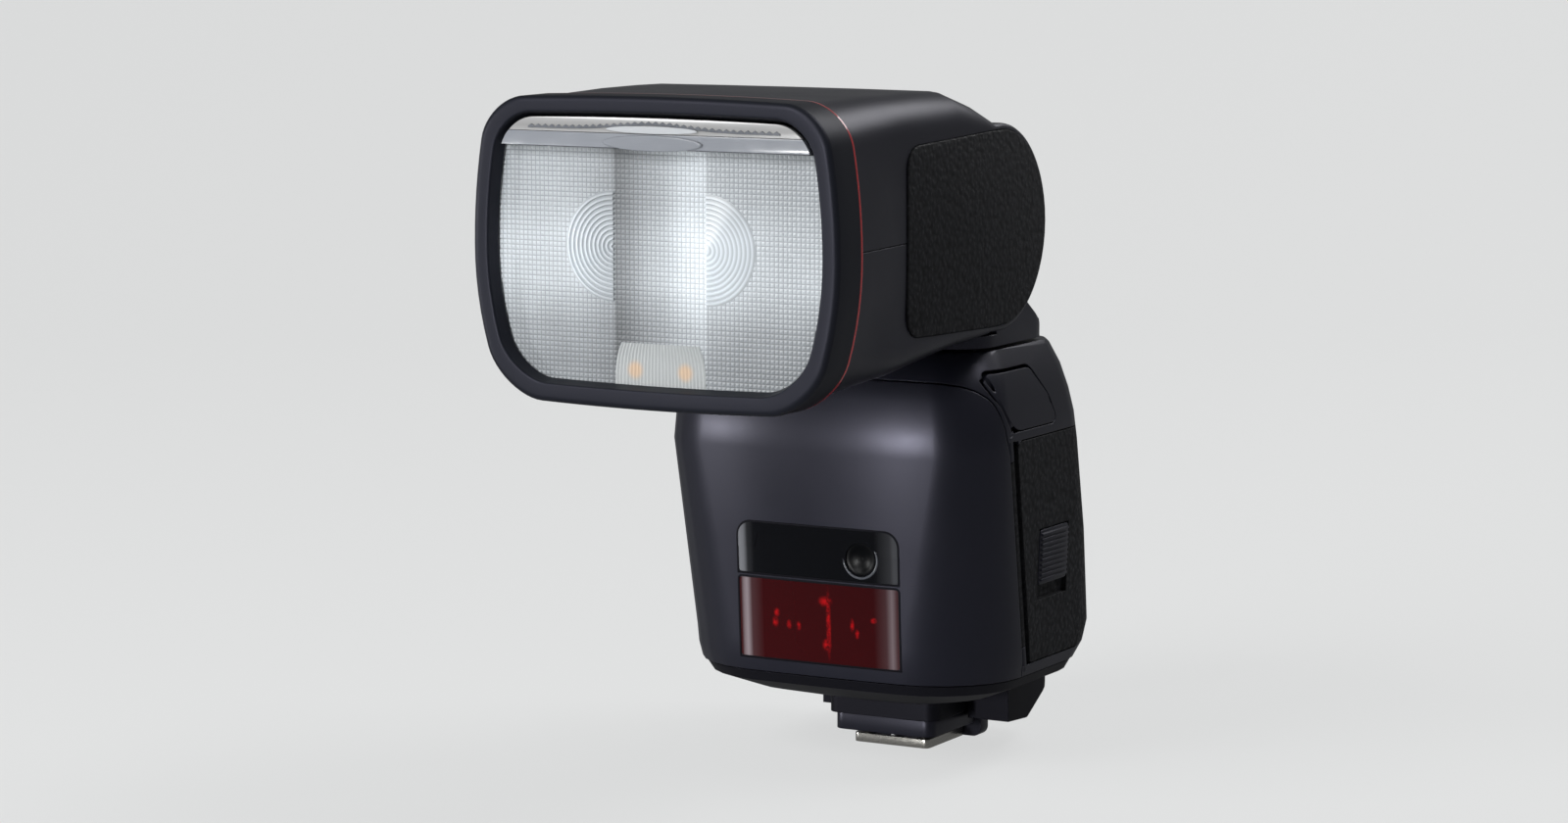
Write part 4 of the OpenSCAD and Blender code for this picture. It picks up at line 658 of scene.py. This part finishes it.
def on_front(form, x, z, lift):
    """Place on the front of a form, lifted off it."""
    well_ahead = -0.2
    spot = form[0].ray_cast(Vector((x, well_ahead, z)), Vector((0, 1, 0)))[0]
    return x, spot.y - lift, z


def eased(rows, steps):
    """More rows on a smooth run through the given rows of numbers."""
    fine = []
    for i in range(len(rows) - 1):
        a, b, c, d = (rows[min(max(k, 0), len(rows) - 1)] for k in (i - 1, i, i + 1, i + 2))
        for step in range(steps):
            t = step / steps
            fine.append([q + 0.5 * t * (r - p + t * (2 * p - 5 * q + 4 * r - s + t * (3 * (q - r) + s - p)))
                for p, q, r, s in zip(a, b, c, d)])
    return fine + [list(rows[-1])]


def as_form(rings, crown=0.0):
    """Skins rings and keeps them as a form to look up places and normals on; crown turns its front fuller."""
    shape = bmesh.new()
    skin(shape, [loop_through(shape, ring) for ring in rings])
    shape.normal_update()
    shape.faces.ensure_lookup_table()
    middle = sum((Vector(p) for p in rings[len(rings) // 2]), Vector()) / len(rings[0])
    probe = min(shape.faces, key=lambda f: (f.calc_center_median() - middle).length)
    if probe.normal.dot(probe.calc_center_median() - middle) < 0:
        bmesh.ops.reverse_faces(shape, faces=shape.faces)
        shape.normal_update()
    return BVHTree.FromBMesh(shape), shape, crown


def body_form():
    """Smooth outside of the control body, from its foot rim up to the platform."""
    low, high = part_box("front_cover")
    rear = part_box("rear_cover")[1]
    width, front, back = (high.x - low.x) / 2 / MM, -low.y / MM, rear.y / MM
    foot_rise, turret_rise = 7.1, 22
    base, waist, shoulder = low.z / MM, low.z / MM + foot_rise, rear.z / MM - turret_rise
    waist_side, waist_front = 1.7, 2.2
    platform_half, platform_front, platform_rear = 35.0, 39, 5
    lean, crown, fullness = math.tan(math.radians(19)), 1.4, 6.0

    # Rows of height, half width, reach to the front and rear, and corner radii at the front and rear
    rows = []
    for t in (0.0, 0.45, 1.0):
        rows.append([base + foot_rise * t, width - waist_side - 0.9 * (1 - t) ** 2,
            front - waist_front - 0.8 * (1 - t) ** 2, back - 7.5 * (1 - t) ** 1.6, 19.0, 14 + 3 * t])
    for t, r_rear in ((0.5, 12.5), (1.0, 10.5)):
        z = waist + (shoulder - waist) * t
        rows.append([z, width - waist_side * (1 - t), front - waist_front * (1 - t),
            back - (z - waist) * lean, 19 - 6.5 * t, r_rear])
    step_back = back - (shoulder - waist) * lean
    for u, drop in ((0.28, 0), (0.52, 0), (0.76, 0), (1.0, 0.8)):
        rows.append([shoulder + turret_rise * u - drop, width + (platform_half - width) * u * u,
            front + (platform_front - front) * u * u, step_back + (platform_rear - step_back) * u, 12.5,
            10.5 - 1.5 * u])

    rings = []
    for z, half, ahead, behind, r_front, r_rear in eased(rows, 5):
        mid = (behind - ahead) / 2
        ring = []
        for x, y in rounded_outline((
                ((half - r_front, r_front - ahead), r_front, -90),
                ((half - r_rear, behind - r_rear), r_rear, 0),
                ((r_rear - half, behind - r_rear), r_rear, 90),
                ((r_front - half, r_front - ahead), r_front, 180)), 14, (6, 8, 6, 16)):
            if y < mid:
                y += crown * (x / half) ** 2 * (mid - y) / (mid + ahead)
            ring.append((x * MM, y * MM, z * MM))
        rings.append(ring)
    return as_form(rings, fullness)


def head_ring(y, half, low, high, r_top, r_low, bulge, bow, draw, steps=12):
    """One closed section of the head in millimetres: rounded box with bulged sides and a drawn-in foot."""
    tall, mid = (high - low) / 2, (high + low) / 2
    a, b = half - bulge, tall - bow
    corners = (((a - r_top, b - r_top), r_top, 0), ((r_top - a, b - r_top), r_top, 90),
        ((r_low - a, r_low - b), r_low, 180), ((a - r_low, r_low - b), r_low, 270))
    points = []
    for x, z in rounded_outline(corners, steps, (steps,) * 4):
        wide = 1 + bulge / a * (1 - (z / b) ** 2) - draw / a * max(0, -z / b) ** 2
        points.append((x * wide * MM, y * MM, (z * (1 + bow / b * (1 - (x / a) ** 2)) + mid) * MM))
    return points


def bezel_ring(y, inset):
    """Section of the bezel at a depth in millimetres, drawn in by inset."""
    return head_ring(y, BEZEL_HALF - inset, BEZEL_LOW.z / MM + inset, BEZEL_HIGH.z / MM - inset,
        r_top=8.5 - 0.6 * inset, r_low=10 - 0.6 * inset, bulge=3.6 - 0.1 * inset, bow=0.9, draw=3.0,
        steps=sizes().ring_steps)


def opening_ring(y, grow):
    """Section of the bezel's opening at a depth in millimetres, let out by grow."""
    return head_ring(y, BEZEL_HALF - BEZEL_SIDE + grow, BEZEL_LOW.z / MM + BEZEL_FOOT - grow,
        BEZEL_HIGH.z / MM - BEZEL_TOP + grow, r_top=6.5 + grow, r_low=8 + grow, bulge=3.2, bow=0.6, draw=2.6,
        steps=sizes().ring_steps)


def head_form():
    """Smooth outside of the flash head behind the accent ring, from rows of what head_ring takes."""
    half, cheek = BEZEL_HALF, BEZEL_HALF - 2.2
    low, high, ring, tilt = BEZEL_LOW.z / MM, BEZEL_HIGH.z / MM, RING_Y / MM, TILT.y / MM
    rows = [
        [ring + 0.8, half - 0.6, low + 0.7, high - 0.5, 8.2, 9.6, 3.4, 0.8, 2.8],
        [ring + 7, half - 1, low + 2.1, high - 0.4, 8.2, 9, 2.8, 0.8, 2.2],
        [ring + 15, cheek + 0.55, low + 3.7, high - 0.4, 8.4, 8, 1.6, 0.6, 1.2],
        [tilt - 43, cheek, low + 5.1, high - 0.4, 8.6, 6.5, 0.3, 0.4, 0.3],
        [tilt - 28.5, cheek, low + 7.5, high - 0.5, 8.6, 5, 0, 0.3, 0],
        [tilt - 17.6, cheek, low + 8.7, high - 0.8, 8, 4.6, 0, 0.2, 0],
        [tilt - 9, cheek, low + 9.4, high - 3.8, 6, 4, 0, 0, 0],
        [tilt - 3, cheek, low + 10.2, high - 7.2, 3, 3, 0, 0, 0],
    ]
    return as_form([head_ring(*row) for row in eased(rows, 5)])


# Pieces with forms of their own


def build_bezel():
    """Bezel with a softly rounded outer edge and a lip round the lens."""
    front, back, seat = BEZEL_LOW.y / MM, RING_Y / MM, LENS_LOW.y / MM
    edge, lip, wall = sizes().bezel_round / MM, 0.5, 2.4
    outer = [bezel_ring(back, 0), bezel_ring((front + edge + back) / 2, 0)]
    outer += [bezel_ring(front + edge * (1 - math.sin(a)), edge * (1 - math.cos(a)))
        for a in (math.pi / 2 * i / 6 for i in range(7))]
    inner = [opening_ring(front + lip * (1 - math.cos(a)), 0.7 + lip * (1 - math.sin(a)))
        for a in (math.pi / 2 * i / 4 for i in range(5))]
    inner += [opening_ring(seat - 0.15, 0.05), opening_ring(seat, 0.15)]
    inner += [bezel_ring(seat + 0.15, wall), bezel_ring(back - 0.15, wall)]
    shape = bmesh.new()
    skin(shape, [loop_through(shape, ring) for ring in outer + inner], closed=True)
    mark_edges(shape, 38)
    finish = textured_moulding("bezel_abs", colours().bezel, 0.45, sheen=0.25)
    settle("bezel_frame_finish", shape, "bezel_frame", finish, True)


def build_accent_ring():
    """Thin ring behind the bezel, with chamfered edges."""
    near, far = (box.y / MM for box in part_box("accent_ring"))
    chamfer, wall = 0.1, 2.4
    places = ((near, 0.12), (near + chamfer, 0.0), (far - chamfer, 0.0), (far, 0.12), (far - chamfer, wall),
        (near + chamfer, wall))
    shape = bmesh.new()
    skin(shape, [loop_through(shape, bezel_ring(y, inset)) for y, inset in places], closed=True)
    mark_edges(shape, 50)
    settle("accent_ring_finish", shape, "accent_ring", finish_of("accent"), True)


def inside(x, z, ring):
    """Whether a point of the lens plane lies within a ring of points."""
    crossings = 0
    for a, b in zip(ring, ring[1:] + ring[:1]):
        if (a[2] > z) != (b[2] > z) and x < a[0] + (z - a[2]) * (b[0] - a[0]) / (b[2] - a[2]):
            crossings += 1
    return crossings % 2 == 1


def build_prisms():
    """Plate of square prisms, open behind the half discs and the lamp window but for an overlap."""
    size, overlap = sizes(), MM
    plane, mid, grid_mid, halves, counts, ring = lens_layout()
    shape = bmesh.new()
    bmesh.ops.create_grid(shape, x_segments=counts[0], y_segments=counts[1], size=1.0,
        matrix=upright((0, plane, grid_mid), halves))
    spare = []
    for face in shape.faces:
        x, _, z = face.calc_center_median()
        beyond = abs(x) - size.disc_place
        in_disc = beyond > overlap and math.hypot(beyond, z - mid) < size.disc_radius - overlap
        in_lamp = abs(x) < size.lamp_width / 2 - overlap and z < OPENING_FOOT + size.lamp_height - overlap
        if in_disc or in_lamp or not inside(x, z, ring):
            spare.append(face)
    bmesh.ops.delete(shape, geom=spare, context="FACES")
    thicken(shape, LENS_DEPTH)
    front = [f for f in shape.faces if f.normal.y < -0.9]
    bmesh.ops.poke(shape, faces=front, offset=size.prism_rise)
    mark_edges(shape, 12)
    settle("front_lens_finish", shape, "front_lens", prism_acrylic("prism_acrylic", colours().lens), True)


def build_discs():
    """Half discs of ring prisms: a saw profile spun half a turn, then closed to a plate."""
    size, hub, crest = sizes(), 0.2 * MM, 0.2
    plane, mid = lens_layout()[:2]
    shape = bmesh.new()
    for side in (-1, 1):
        centre = Vector((side * size.disc_place, plane - 0.1 * MM, mid))
        profile = []
        for i in range(int(size.disc_radius / size.prism_pitch) * 2 + 1):
            reach = hub + (i // 2 + crest * (i % 2)) * size.prism_pitch
            profile.append(shape.verts.new(centre + Vector((0, -2 * size.prism_rise * (i % 2), reach))))
        edges = [shape.edges.new(pair) for pair in zip(profile, profile[1:])]
        bmesh.ops.spin(shape, geom=profile + edges, cent=centre, axis=(0, side, 0), dvec=(0, 0, 0),
            angle=math.pi, steps=40, use_merge=False)
    thicken(shape, LENS_DEPTH)
    mark_edges(shape, 12)
    settle("front_lens_discs", shape, "front_lens", prism_acrylic("ring_prism_acrylic", colours().lens, True))


def build_lamp_ribs():
    """Ribbed lamp window at the foot of the lens, a little narrower at its top."""
    size, ribs, rib_rise, taper = sizes(), 26, 0.14 * MM, 0.14
    plane = lens_layout()[0]
    foot, top = OPENING_FOOT - 0.4 * MM, OPENING_FOOT + size.lamp_height
    half = size.lamp_width / 2
    shape = bmesh.new()
    bmesh.ops.create_grid(shape, x_segments=2 * ribs, y_segments=6, size=1.0,
        matrix=upright((0, plane - 0.16 * MM, (foot + top) / 2), (half, (top - foot) / 2)))
    for corner in shape.verts:
        column = round((corner.co.x + half) / (half / ribs))
        corner.co.y -= rib_rise * (column % 2)
        corner.co.x *= 1 - taper * ((corner.co.z - foot) / (top - foot)) ** 3
    thicken(shape, LENS_DEPTH)
    mark_edges(shape, 20)
    settle("lamp_window_ribs", shape, "led_window", milky_lamp_window("milky_lamp_window", linear("#9b9fa0")))


def build_panel_edges(lip_y, foot, split, smoke):
    """Front edges of both panels, cut from the outline of the bezel's opening."""
    gap = 0.05 * MM
    # The catchlight panel's edge has a highlight painted along its upper rim
    lit = panel_edge("lit_acrylic_edge")
    for node, low, high, material in (
            ("wide_panel", foot, split - gap, smoke), ("catchlight_panel", split + gap, 1.0, lit)):
        shape = bmesh.new()
        rim = loop_through(shape, opening_ring(lip_y / MM - 0.05, -0.25))
        bmesh.ops.edgeloop_fill(shape, edges=rim)
        cut_off(shape, low, -1)
        cut_off(shape, high, 1)
        thicken(shape, 1.1 * MM)
        round_edges(shape, [e for e in shape.edges if e.calc_face_angle(0) > 0.6], 0.12 * MM)
        mark_edges(shape, 48)
        settle(node + "_edge", shape, node, material)


def build_teeth(lip_y, base):
    """Toothed line on the catchlight panel's edge, arched over the pull, dark grey as painted shade."""
    teeth, half, tooth, arch, arch_reach = 36, 29 * MM, 0.5 * MM, 1.15 * MM, 11 * MM
    shape = bmesh.new()
    bmesh.ops.create_grid(shape, x_segments=2 * teeth, y_segments=1, size=1.0,
        matrix=upright((0, lip_y - 0.25 * MM, base), (half, 0.14 * MM)))
    for corner in shape.verts:
        column = round((corner.co.x + half) / (half / teeth))
        if corner.co.z > base:
            corner.co.z += tooth * (column % 2)
        corner.co.z += arch * math.exp(-((corner.co.x / arch_reach) ** 2))
    thicken(shape, 0.3 * MM)
    mark_edges(shape, 25)
    # Dark grey: painted shade of the teeth
    settle("catchlight_panel_teeth", shape, "catchlight_panel",
        polished_plastic("grey_gloss_painted_teeth_shade", linear("#5d6066"), 0.3, 0.0))


def build_pulls(lip_y, foot, split, smoke):
    """Finger pulls in the middle of both panels' edges."""
    pale = clear_plastic("pale_frosted_acrylic", linear("#c3c6ca"), 0.2, 0.2, 0.2)
    for node, centre, wide, tall, material in (
            ("wide_panel", foot + 1.1 * MM, 11.5 * MM, 1.6 * MM, smoke),
            ("catchlight_panel", split + 0.85 * MM, 10.5 * MM, 0.75 * MM, pale)):
        shape = bmesh.new()
        bmesh.ops.create_circle(shape, cap_ends=True, segments=48, radius=1.0,
            matrix=upright((0, lip_y - 0.05 * MM, centre), (wide, tall)))
        thicken(shape, -0.5 * MM)
        front = [e for e in shape.edges if all(v.co.y < lip_y - 0.3 * MM for v in e.verts)]
        round_edges(shape, front, 0.35 * MM, 3)
        mark_edges(shape, 48)
        settle(node + "_pull", shape, node, material)


def build_brow(form, smoked):
    """Rounded brow of the sensor window, seated on the cover above it."""
    low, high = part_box("sensor_window")
    half, top = (high.x - low.x) / 2, high.z + BROW_RISE
    side_foot, mid_foot, side_share = 3.4 * MM, 0.3 * MM, 0.78
    shape = bmesh.new()
    bmesh.ops.create_grid(shape, x_segments=48, y_segments=16, size=1.0)
    for corner in shape.verts:
        foot = high.z - (side_foot if abs(corner.co.x) > side_share else mid_foot)
        z = foot + (corner.co.y + 1) / 2 * (top - foot)
        over = max(0.0, z - top + BROW_CORNER)
        x = corner.co.x * (half - BROW_CORNER + math.sqrt(max(0.0, BROW_CORNER ** 2 - over ** 2)))
        corner.co = on_front(form, x, z, 0.06 * MM)
    bmesh.ops.recalc_face_normals(shape, faces=shape.faces)
    thicken(shape, 0.6 * MM)
    mark_edges(shape, 40)
    settle("sensor_window_brow", shape, "sensor_window", smoked)


def build_hinge_pin():
    """The terminal cover's hinge pin, blackened and with its ends kept below the skin."""
    node, foot_cut, top_cut = "terminal_hinge_pin", 1.5 * MM, 5.5 * MM
    low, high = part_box(node)
    shape = copy_of(node)
    for level, way in ((low.z + foot_cut, -1), (high.z - top_cut, 1)):
        bmesh.ops.contextual_create(shape, geom=cut_off(shape, level, way))
    bmesh.ops.recalc_face_normals(shape, faces=shape.faces)
    mark_edges(shape, 32)
    settle(node + "_finish", shape, node, plated_metal("black_oxide_steel", linear("#16161a"), 0.5), True)


def build_gap_shades(form):
    """Thin near-black bands round both windows, seated in the cover: painted shade of the gap round each."""
    # Near-black matt finish: painted shade of the gaps
    painted_gap_shade = textured_moulding("matt_black_gap_shade", linear("#050507"), 0.6, sheen=0.15)
    section = ((0.4, -0.4), (0.4, 0.03), (-0.05, 0.09), (-0.05, -0.4))
    for node, rise, round_top in (("sensor_window", BROW_RISE, BROW_CORNER), ("af_window", 0.0, 0.6 * MM)):
        low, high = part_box(node)
        shape = bmesh.new()
        loops = []
        for grow, lift in section:
            left, right = low.x - grow * MM, high.x + grow * MM
            base, top, r = low.z - grow * MM, high.z + rise + grow * MM, round_top + grow * MM
            line = rounded_outline((
                ((right - r, top - r), r, 0), ((left + r, top - r), r, 90), ((left, base), 0, 180),
                ((right, base), 0, 270)), 8, (24, 8, 24, 8))
            loops.append(loop_through(shape, [on_front(form, x, z, lift * MM) for x, z in line]))
        skin(shape, loops, closed=True)
        mark_edges(shape, 40)
        settle(node + "_gap_shade_band", shape, node, painted_gap_shade)


def build_lens_rim():
    """Turned rim round the sensor lens."""
    low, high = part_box("sensor_lens")
    middle = Vector(((low.x + high.x) / 2, low.y, (low.z + high.z) / 2))
    reach, bead = (high.x - low.x) / 2 + 0.6 * MM, 0.28 * MM
    shape = bmesh.new()
    bmesh.ops.create_circle(shape, segments=10, radius=bead,
        matrix=Matrix.Translation(middle + Vector((reach, 0, 0))) @ Matrix.Rotation(math.pi, 4, "X"))
    bmesh.ops.spin(shape, geom=shape.verts[:] + shape.edges[:], cent=middle, axis=(0, 1, 0), dvec=(0, 0, 0),
        angle=2 * math.pi, steps=48, use_merge=True)
    bmesh.ops.remove_doubles(shape, verts=shape.verts, dist=0.001 * MM)
    bmesh.ops.recalc_face_normals(shape, faces=shape.faces)
    mark_edges(shape, 60)
    settle("sensor_lens_rim", shape, "sensor_lens",
        polished_plastic("turned_black_rim", linear("#4a4d54"), 0.3, 0.2))


# Stage


def build_sweep(scene):
    """Floor that bends up into the backdrop, square to the camera."""
    floor = CAD_BOX[0][2] - 0.05 * MM
    near, reach, bend, rise, half = -3.0, 1.6, 0.8, 3.0, 4.0
    line = [(near, floor)] + arc((reach - bend, floor + bend), bend, -90, 0, 24) + [(reach, rise)]
    turn = Matrix.Rotation(math.radians(SWEEP_TURN), 4, "Z")
    shape = bmesh.new()
    row = [shape.verts.new(turn @ Vector((-half, y, z))) for y, z in line]
    edges = [shape.edges.new(pair) for pair in zip(row, row[1:])]
    made = bmesh.ops.extrude_edge_only(shape, edges=edges)
    bmesh.ops.translate(shape, verts=[g for g in made["geom"] if isinstance(g, bmesh.types.BMVert)],
        vec=turn @ Vector((2 * half, 0, 0)))
    bmesh.ops.recalc_face_normals(shape, faces=shape.faces)
    mark_edges(shape, 60)
    mesh = bpy.data.meshes.new("studio_sweep")
    shape.to_mesh(mesh)
    shape.free()
    mesh.materials.append(painted_sweep("matt_painted_sweep", colours().backdrop))
    sweep = bpy.data.objects.new("studio_sweep", mesh)
    scene.collection.objects.link(sweep)


def build_air(scene):
    """Air above the sweep: pale for the camera, dim for what lights the object."""
    world = bpy.data.worlds.new("studio_air")
    world.use_nodes = True
    air = world.node_tree
    sky = air.nodes["Background"]
    sky.inputs["Color"].default_value = colours().backdrop
    level = add(air, "Math", {0: ray_share(air, 0.86, 0.16), 1: 0.12}, operation="MAXIMUM")
    air.links.new(level.outputs["Value"], sky.inputs["Strength"])
    scene.world = world


def hang_lamps(scene):
    """Soft boxes and two narrow strips, each turned to its aim."""
    for name, place, aim, width, height, power, spread in LAMPS:
        lamp = bpy.data.lights.new(name, "AREA")
        lamp.shape, lamp.size, lamp.size_y, lamp.energy = "RECTANGLE", width, height, power
        lamp.spread = math.radians(spread)
        holder = bpy.data.objects.new(name, lamp)
        holder.location = place
        holder.rotation_euler = (Vector(aim) - Vector(place)).to_track_quat("-Z", "Y").to_euler()
        scene.collection.objects.link(holder)


def set_camera(scene):
    """Camera solved on the photograph: long lens, a little above the platform, seen from the right front."""
    a, e, roll = (math.radians(x) for x in (CAMERA_TURN, CAMERA_RISE, CAMERA_ROLL))
    back = Vector((math.sin(a) * math.cos(e), -math.cos(a) * math.cos(e), math.sin(e)))
    right = Vector((math.cos(a), math.sin(a), 0))
    up = back.cross(right)
    right, up = right * math.cos(roll) - up * math.sin(roll), right * math.sin(roll) + up * math.cos(roll)
    spot = Vector(CAMERA_AIM) + back * CAMERA_DISTANCE + right * CAMERA_RIGHT + up * CAMERA_UP
    lens = bpy.data.cameras.new("photo_camera")
    lens.sensor_width, lens.lens = CAMERA_SENSOR, CAMERA_LENS
    lens.clip_start, lens.clip_end = 0.05, 20
    camera = bpy.data.objects.new("photo_camera", lens)
    camera.matrix_world = Matrix.Translation(spot * MM) @ Matrix((right, up, back)).transposed().to_4x4()
    scene.collection.objects.link(camera)
    scene.camera = camera


# Operators, one for each group of like pieces


class FLASH_OT_head_frame(bpy.types.Operator):
    """Bezel with a softly rounded edge, and the thin accent ring behind it"""

    bl_idname = "flash.head_frame"
    bl_label = "Bezel and accent ring"

    def execute(self, context):
        build_bezel()
        build_accent_ring()
        return {"FINISHED"}


class FLASH_OT_head_shells(bpy.types.Operator):
    """Upper and lower shell of the head, the pebbled pads on its sides and the tilt release button"""

    bl_idname = "flash.head_shells"
    bl_label = "Head shells and pads"

    def execute(self, context):
        form = head_form()
        for node in ("head_upper_shell", "head_lower_shell"):
            dress(node, form=form)
        for node, rim in (("grip_pad_right", 0.3), ("grip_pad_left", 0.3), ("tilt_release_button", 0.4)):
            dress(node, rim=rim * MM)
        return {"FINISHED"}


class FLASH_OT_lens(bpy.types.Operator):
    """Front lens with square prisms, two half discs of ring prisms and the ribbed lamp window"""

    bl_idname = "flash.lens"
    bl_label = "Lens and lamp window"

    def execute(self, context):
        build_prisms()
        build_discs()
        build_lamp_ribs()
        return {"FINISHED"}


class FLASH_OT_panels(bpy.types.Operator):
    """Slide-out wide panel and catchlight panel, with their pulls and the toothed line on the front edge"""

    bl_idname = "flash.panels"
    bl_label = "Slide-out panels"

    def execute(self, context):
        for node in ("wide_panel", "catchlight_panel"):
            dress(node, rim=0.15 * MM)
        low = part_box("wide_panel")[0]
        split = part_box("catchlight_panel")[0].z - 0.3 * MM
        smoke = clear_plastic("grey_frosted_acrylic", linear("#92969d"), 0.2, 0.25, 0.2)
        build_panel_edges(low.y, low.z, split, smoke)
        build_teeth(low.y, split + 0.75 * MM)
        build_pulls(low.y, low.z, split, smoke)
        return {"FINISHED"}


class FLASH_OT_body_covers(bpy.types.Operator):
    """Front and rear cover, battery door, latch, terminal cover and the two front windows"""

    bl_idname = "flash.body_covers"
    bl_label = "Body covers"

    def execute(self, context):
        form = body_form()
        for node in ("front_cover", "rear_cover", "terminal_cover"):
            dress(node, form=form)
        dress("battery_door", finish_of("grip"), form=form)
        dress("door_latch", rim=0.12 * MM)
        smoked = smoked_window("smoked_window_acrylic", linear("#05060a"))
        dress("sensor_window", smoked, form=form)
        dress("af_window", form=form)
        build_brow(form, smoked)
        for node in ("sensor_lens", "af_emitter"):
            dress(node)
        build_hinge_pin()
        # Painted shade of the gaps round both windows
        build_gap_shades(form)
        build_lens_rim()
        return {"FINISHED"}


class FLASH_OT_foot(bpy.types.Operator):
    """Base skirt, shoe foot with its plate, contacts, lock lever and lock pin"""

    bl_idname = "flash.foot"
    bl_label = "Base and shoe foot"

    def execute(self, context):
        # Duller than the housing, and darker: the darker colour is painted shade under the body
        dress("base_skirt", textured_moulding("dark_base_painted_under_shade", linear("#0b0b10"), 0.5, sheen=0.2))
        for node, rim in (("foot_block", 0.3), ("foot_plate", 0.18), ("lock_lever", 0.35)):
            dress(node, rim=rim * MM)
        for node in ("contact_pins", "lock_pin"):
            dress(node)
        return {"FINISHED"}


class FLASH_OT_neck(bpy.types.Operator):
    """Swivelling neck between body and head"""

    bl_idname = "flash.neck"
    bl_label = "Neck"

    def execute(self, context):
        for node in (
                "neck_cradle", "hinge_drum", "tilt_bushes", "tilt_shaft", "swivel_spindle", "swivel_washer"):
            dress(node)
        return {"FINISHED"}


class FLASH_OT_controls(bpy.types.Operator):
    """Display, dial, keys, test button and power switch on the rear"""

    bl_idname = "flash.controls"
    bl_label = "Rear controls"

    def execute(self, context):
        for node, rim in (("lcd_window", 0.3), ("set_button", 0.35), ("left_key", 0.3), ("right_key", 0.3),
                ("test_button", 0.3), ("power_switch", 0.2), ("select_dial", 0.15)):
            dress(node, rim=rim * MM)
        dress("lcd_module")
        return {"FINISHED"}


class FLASH_OT_inner_parts(bpy.types.Operator):
    """Pieces inside the head and the body that show only through windows and open doors"""

    bl_idname = "flash.inner_parts"
    bl_label = "Inner parts"

    def execute(self, context):
        # The board behind the switch slot is given a black mask as painted shade, so the slot reads dark
        dress("control_board", solder_mask("black_mask_painted_slot_shade", linear("#0b0d0c"), linear("#1a1c1b")))
        stood_for = {n for piece in bpy.data.objects for n in piece.get("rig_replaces", [])}
        for node in sorted(set(frame["nodes"]) - stood_for):
            dress(node, rim=0.8 * MM if node == "battery_pack" else 0.0)
        return {"FINISHED"}


class FLASH_OT_stage(bpy.types.Operator):
    """Pale sweep, soft lamps and the camera at the photograph's angle"""

    bl_idname = "flash.stage"
    bl_label = "Stage"

    def execute(self, context):
        build_sweep(context.scene)
        build_air(context.scene)
        hang_lamps(context.scene)
        set_camera(context.scene)
        context.scene.view_settings.view_transform = "Standard"
        return {"FINISHED"}


PIECE_OPERATORS = (
    FLASH_OT_head_frame, FLASH_OT_head_shells, FLASH_OT_lens, FLASH_OT_panels, FLASH_OT_body_covers,
    FLASH_OT_foot, FLASH_OT_neck, FLASH_OT_controls, FLASH_OT_inner_parts, FLASH_OT_stage,
)


class FLASH_PT_pieces(bpy.types.Panel):
    """Sizes, colours and pieces of the flash"""

    bl_idname = "FLASH_PT_pieces"
    bl_label = "Speedlight flash"
    bl_space_type = "VIEW_3D"
    bl_region_type = "UI"
    bl_category = "Flash"

    def draw(self, context):
        column = self.layout.column()
        for group in (context.scene.flash_sizes, context.scene.flash_colours):
            for name in group.__annotations__:
                column.prop(group, name)
        for operator in PIECE_OPERATORS:
            column.operator(operator.bl_idname)


CLASSES = (FlashSizes, FlashColours) + PIECE_OPERATORS + (FLASH_PT_pieces,)


def register():
    for kind in CLASSES:
        bpy.utils.register_class(kind)
    bpy.types.Scene.flash_sizes = PointerProperty(type=FlashSizes)
    bpy.types.Scene.flash_colours = PointerProperty(type=FlashColours)


def unregister():
    del bpy.types.Scene.flash_colours
    del bpy.types.Scene.flash_sizes
    for kind in reversed(CLASSES):
        bpy.utils.unregister_class(kind)


def main():
    register()
    for operator in PIECE_OPERATORS:
        group, name = operator.bl_idname.split(".")
        getattr(getattr(bpy.ops, group), name)()


if __name__ == "__main__":
    main()
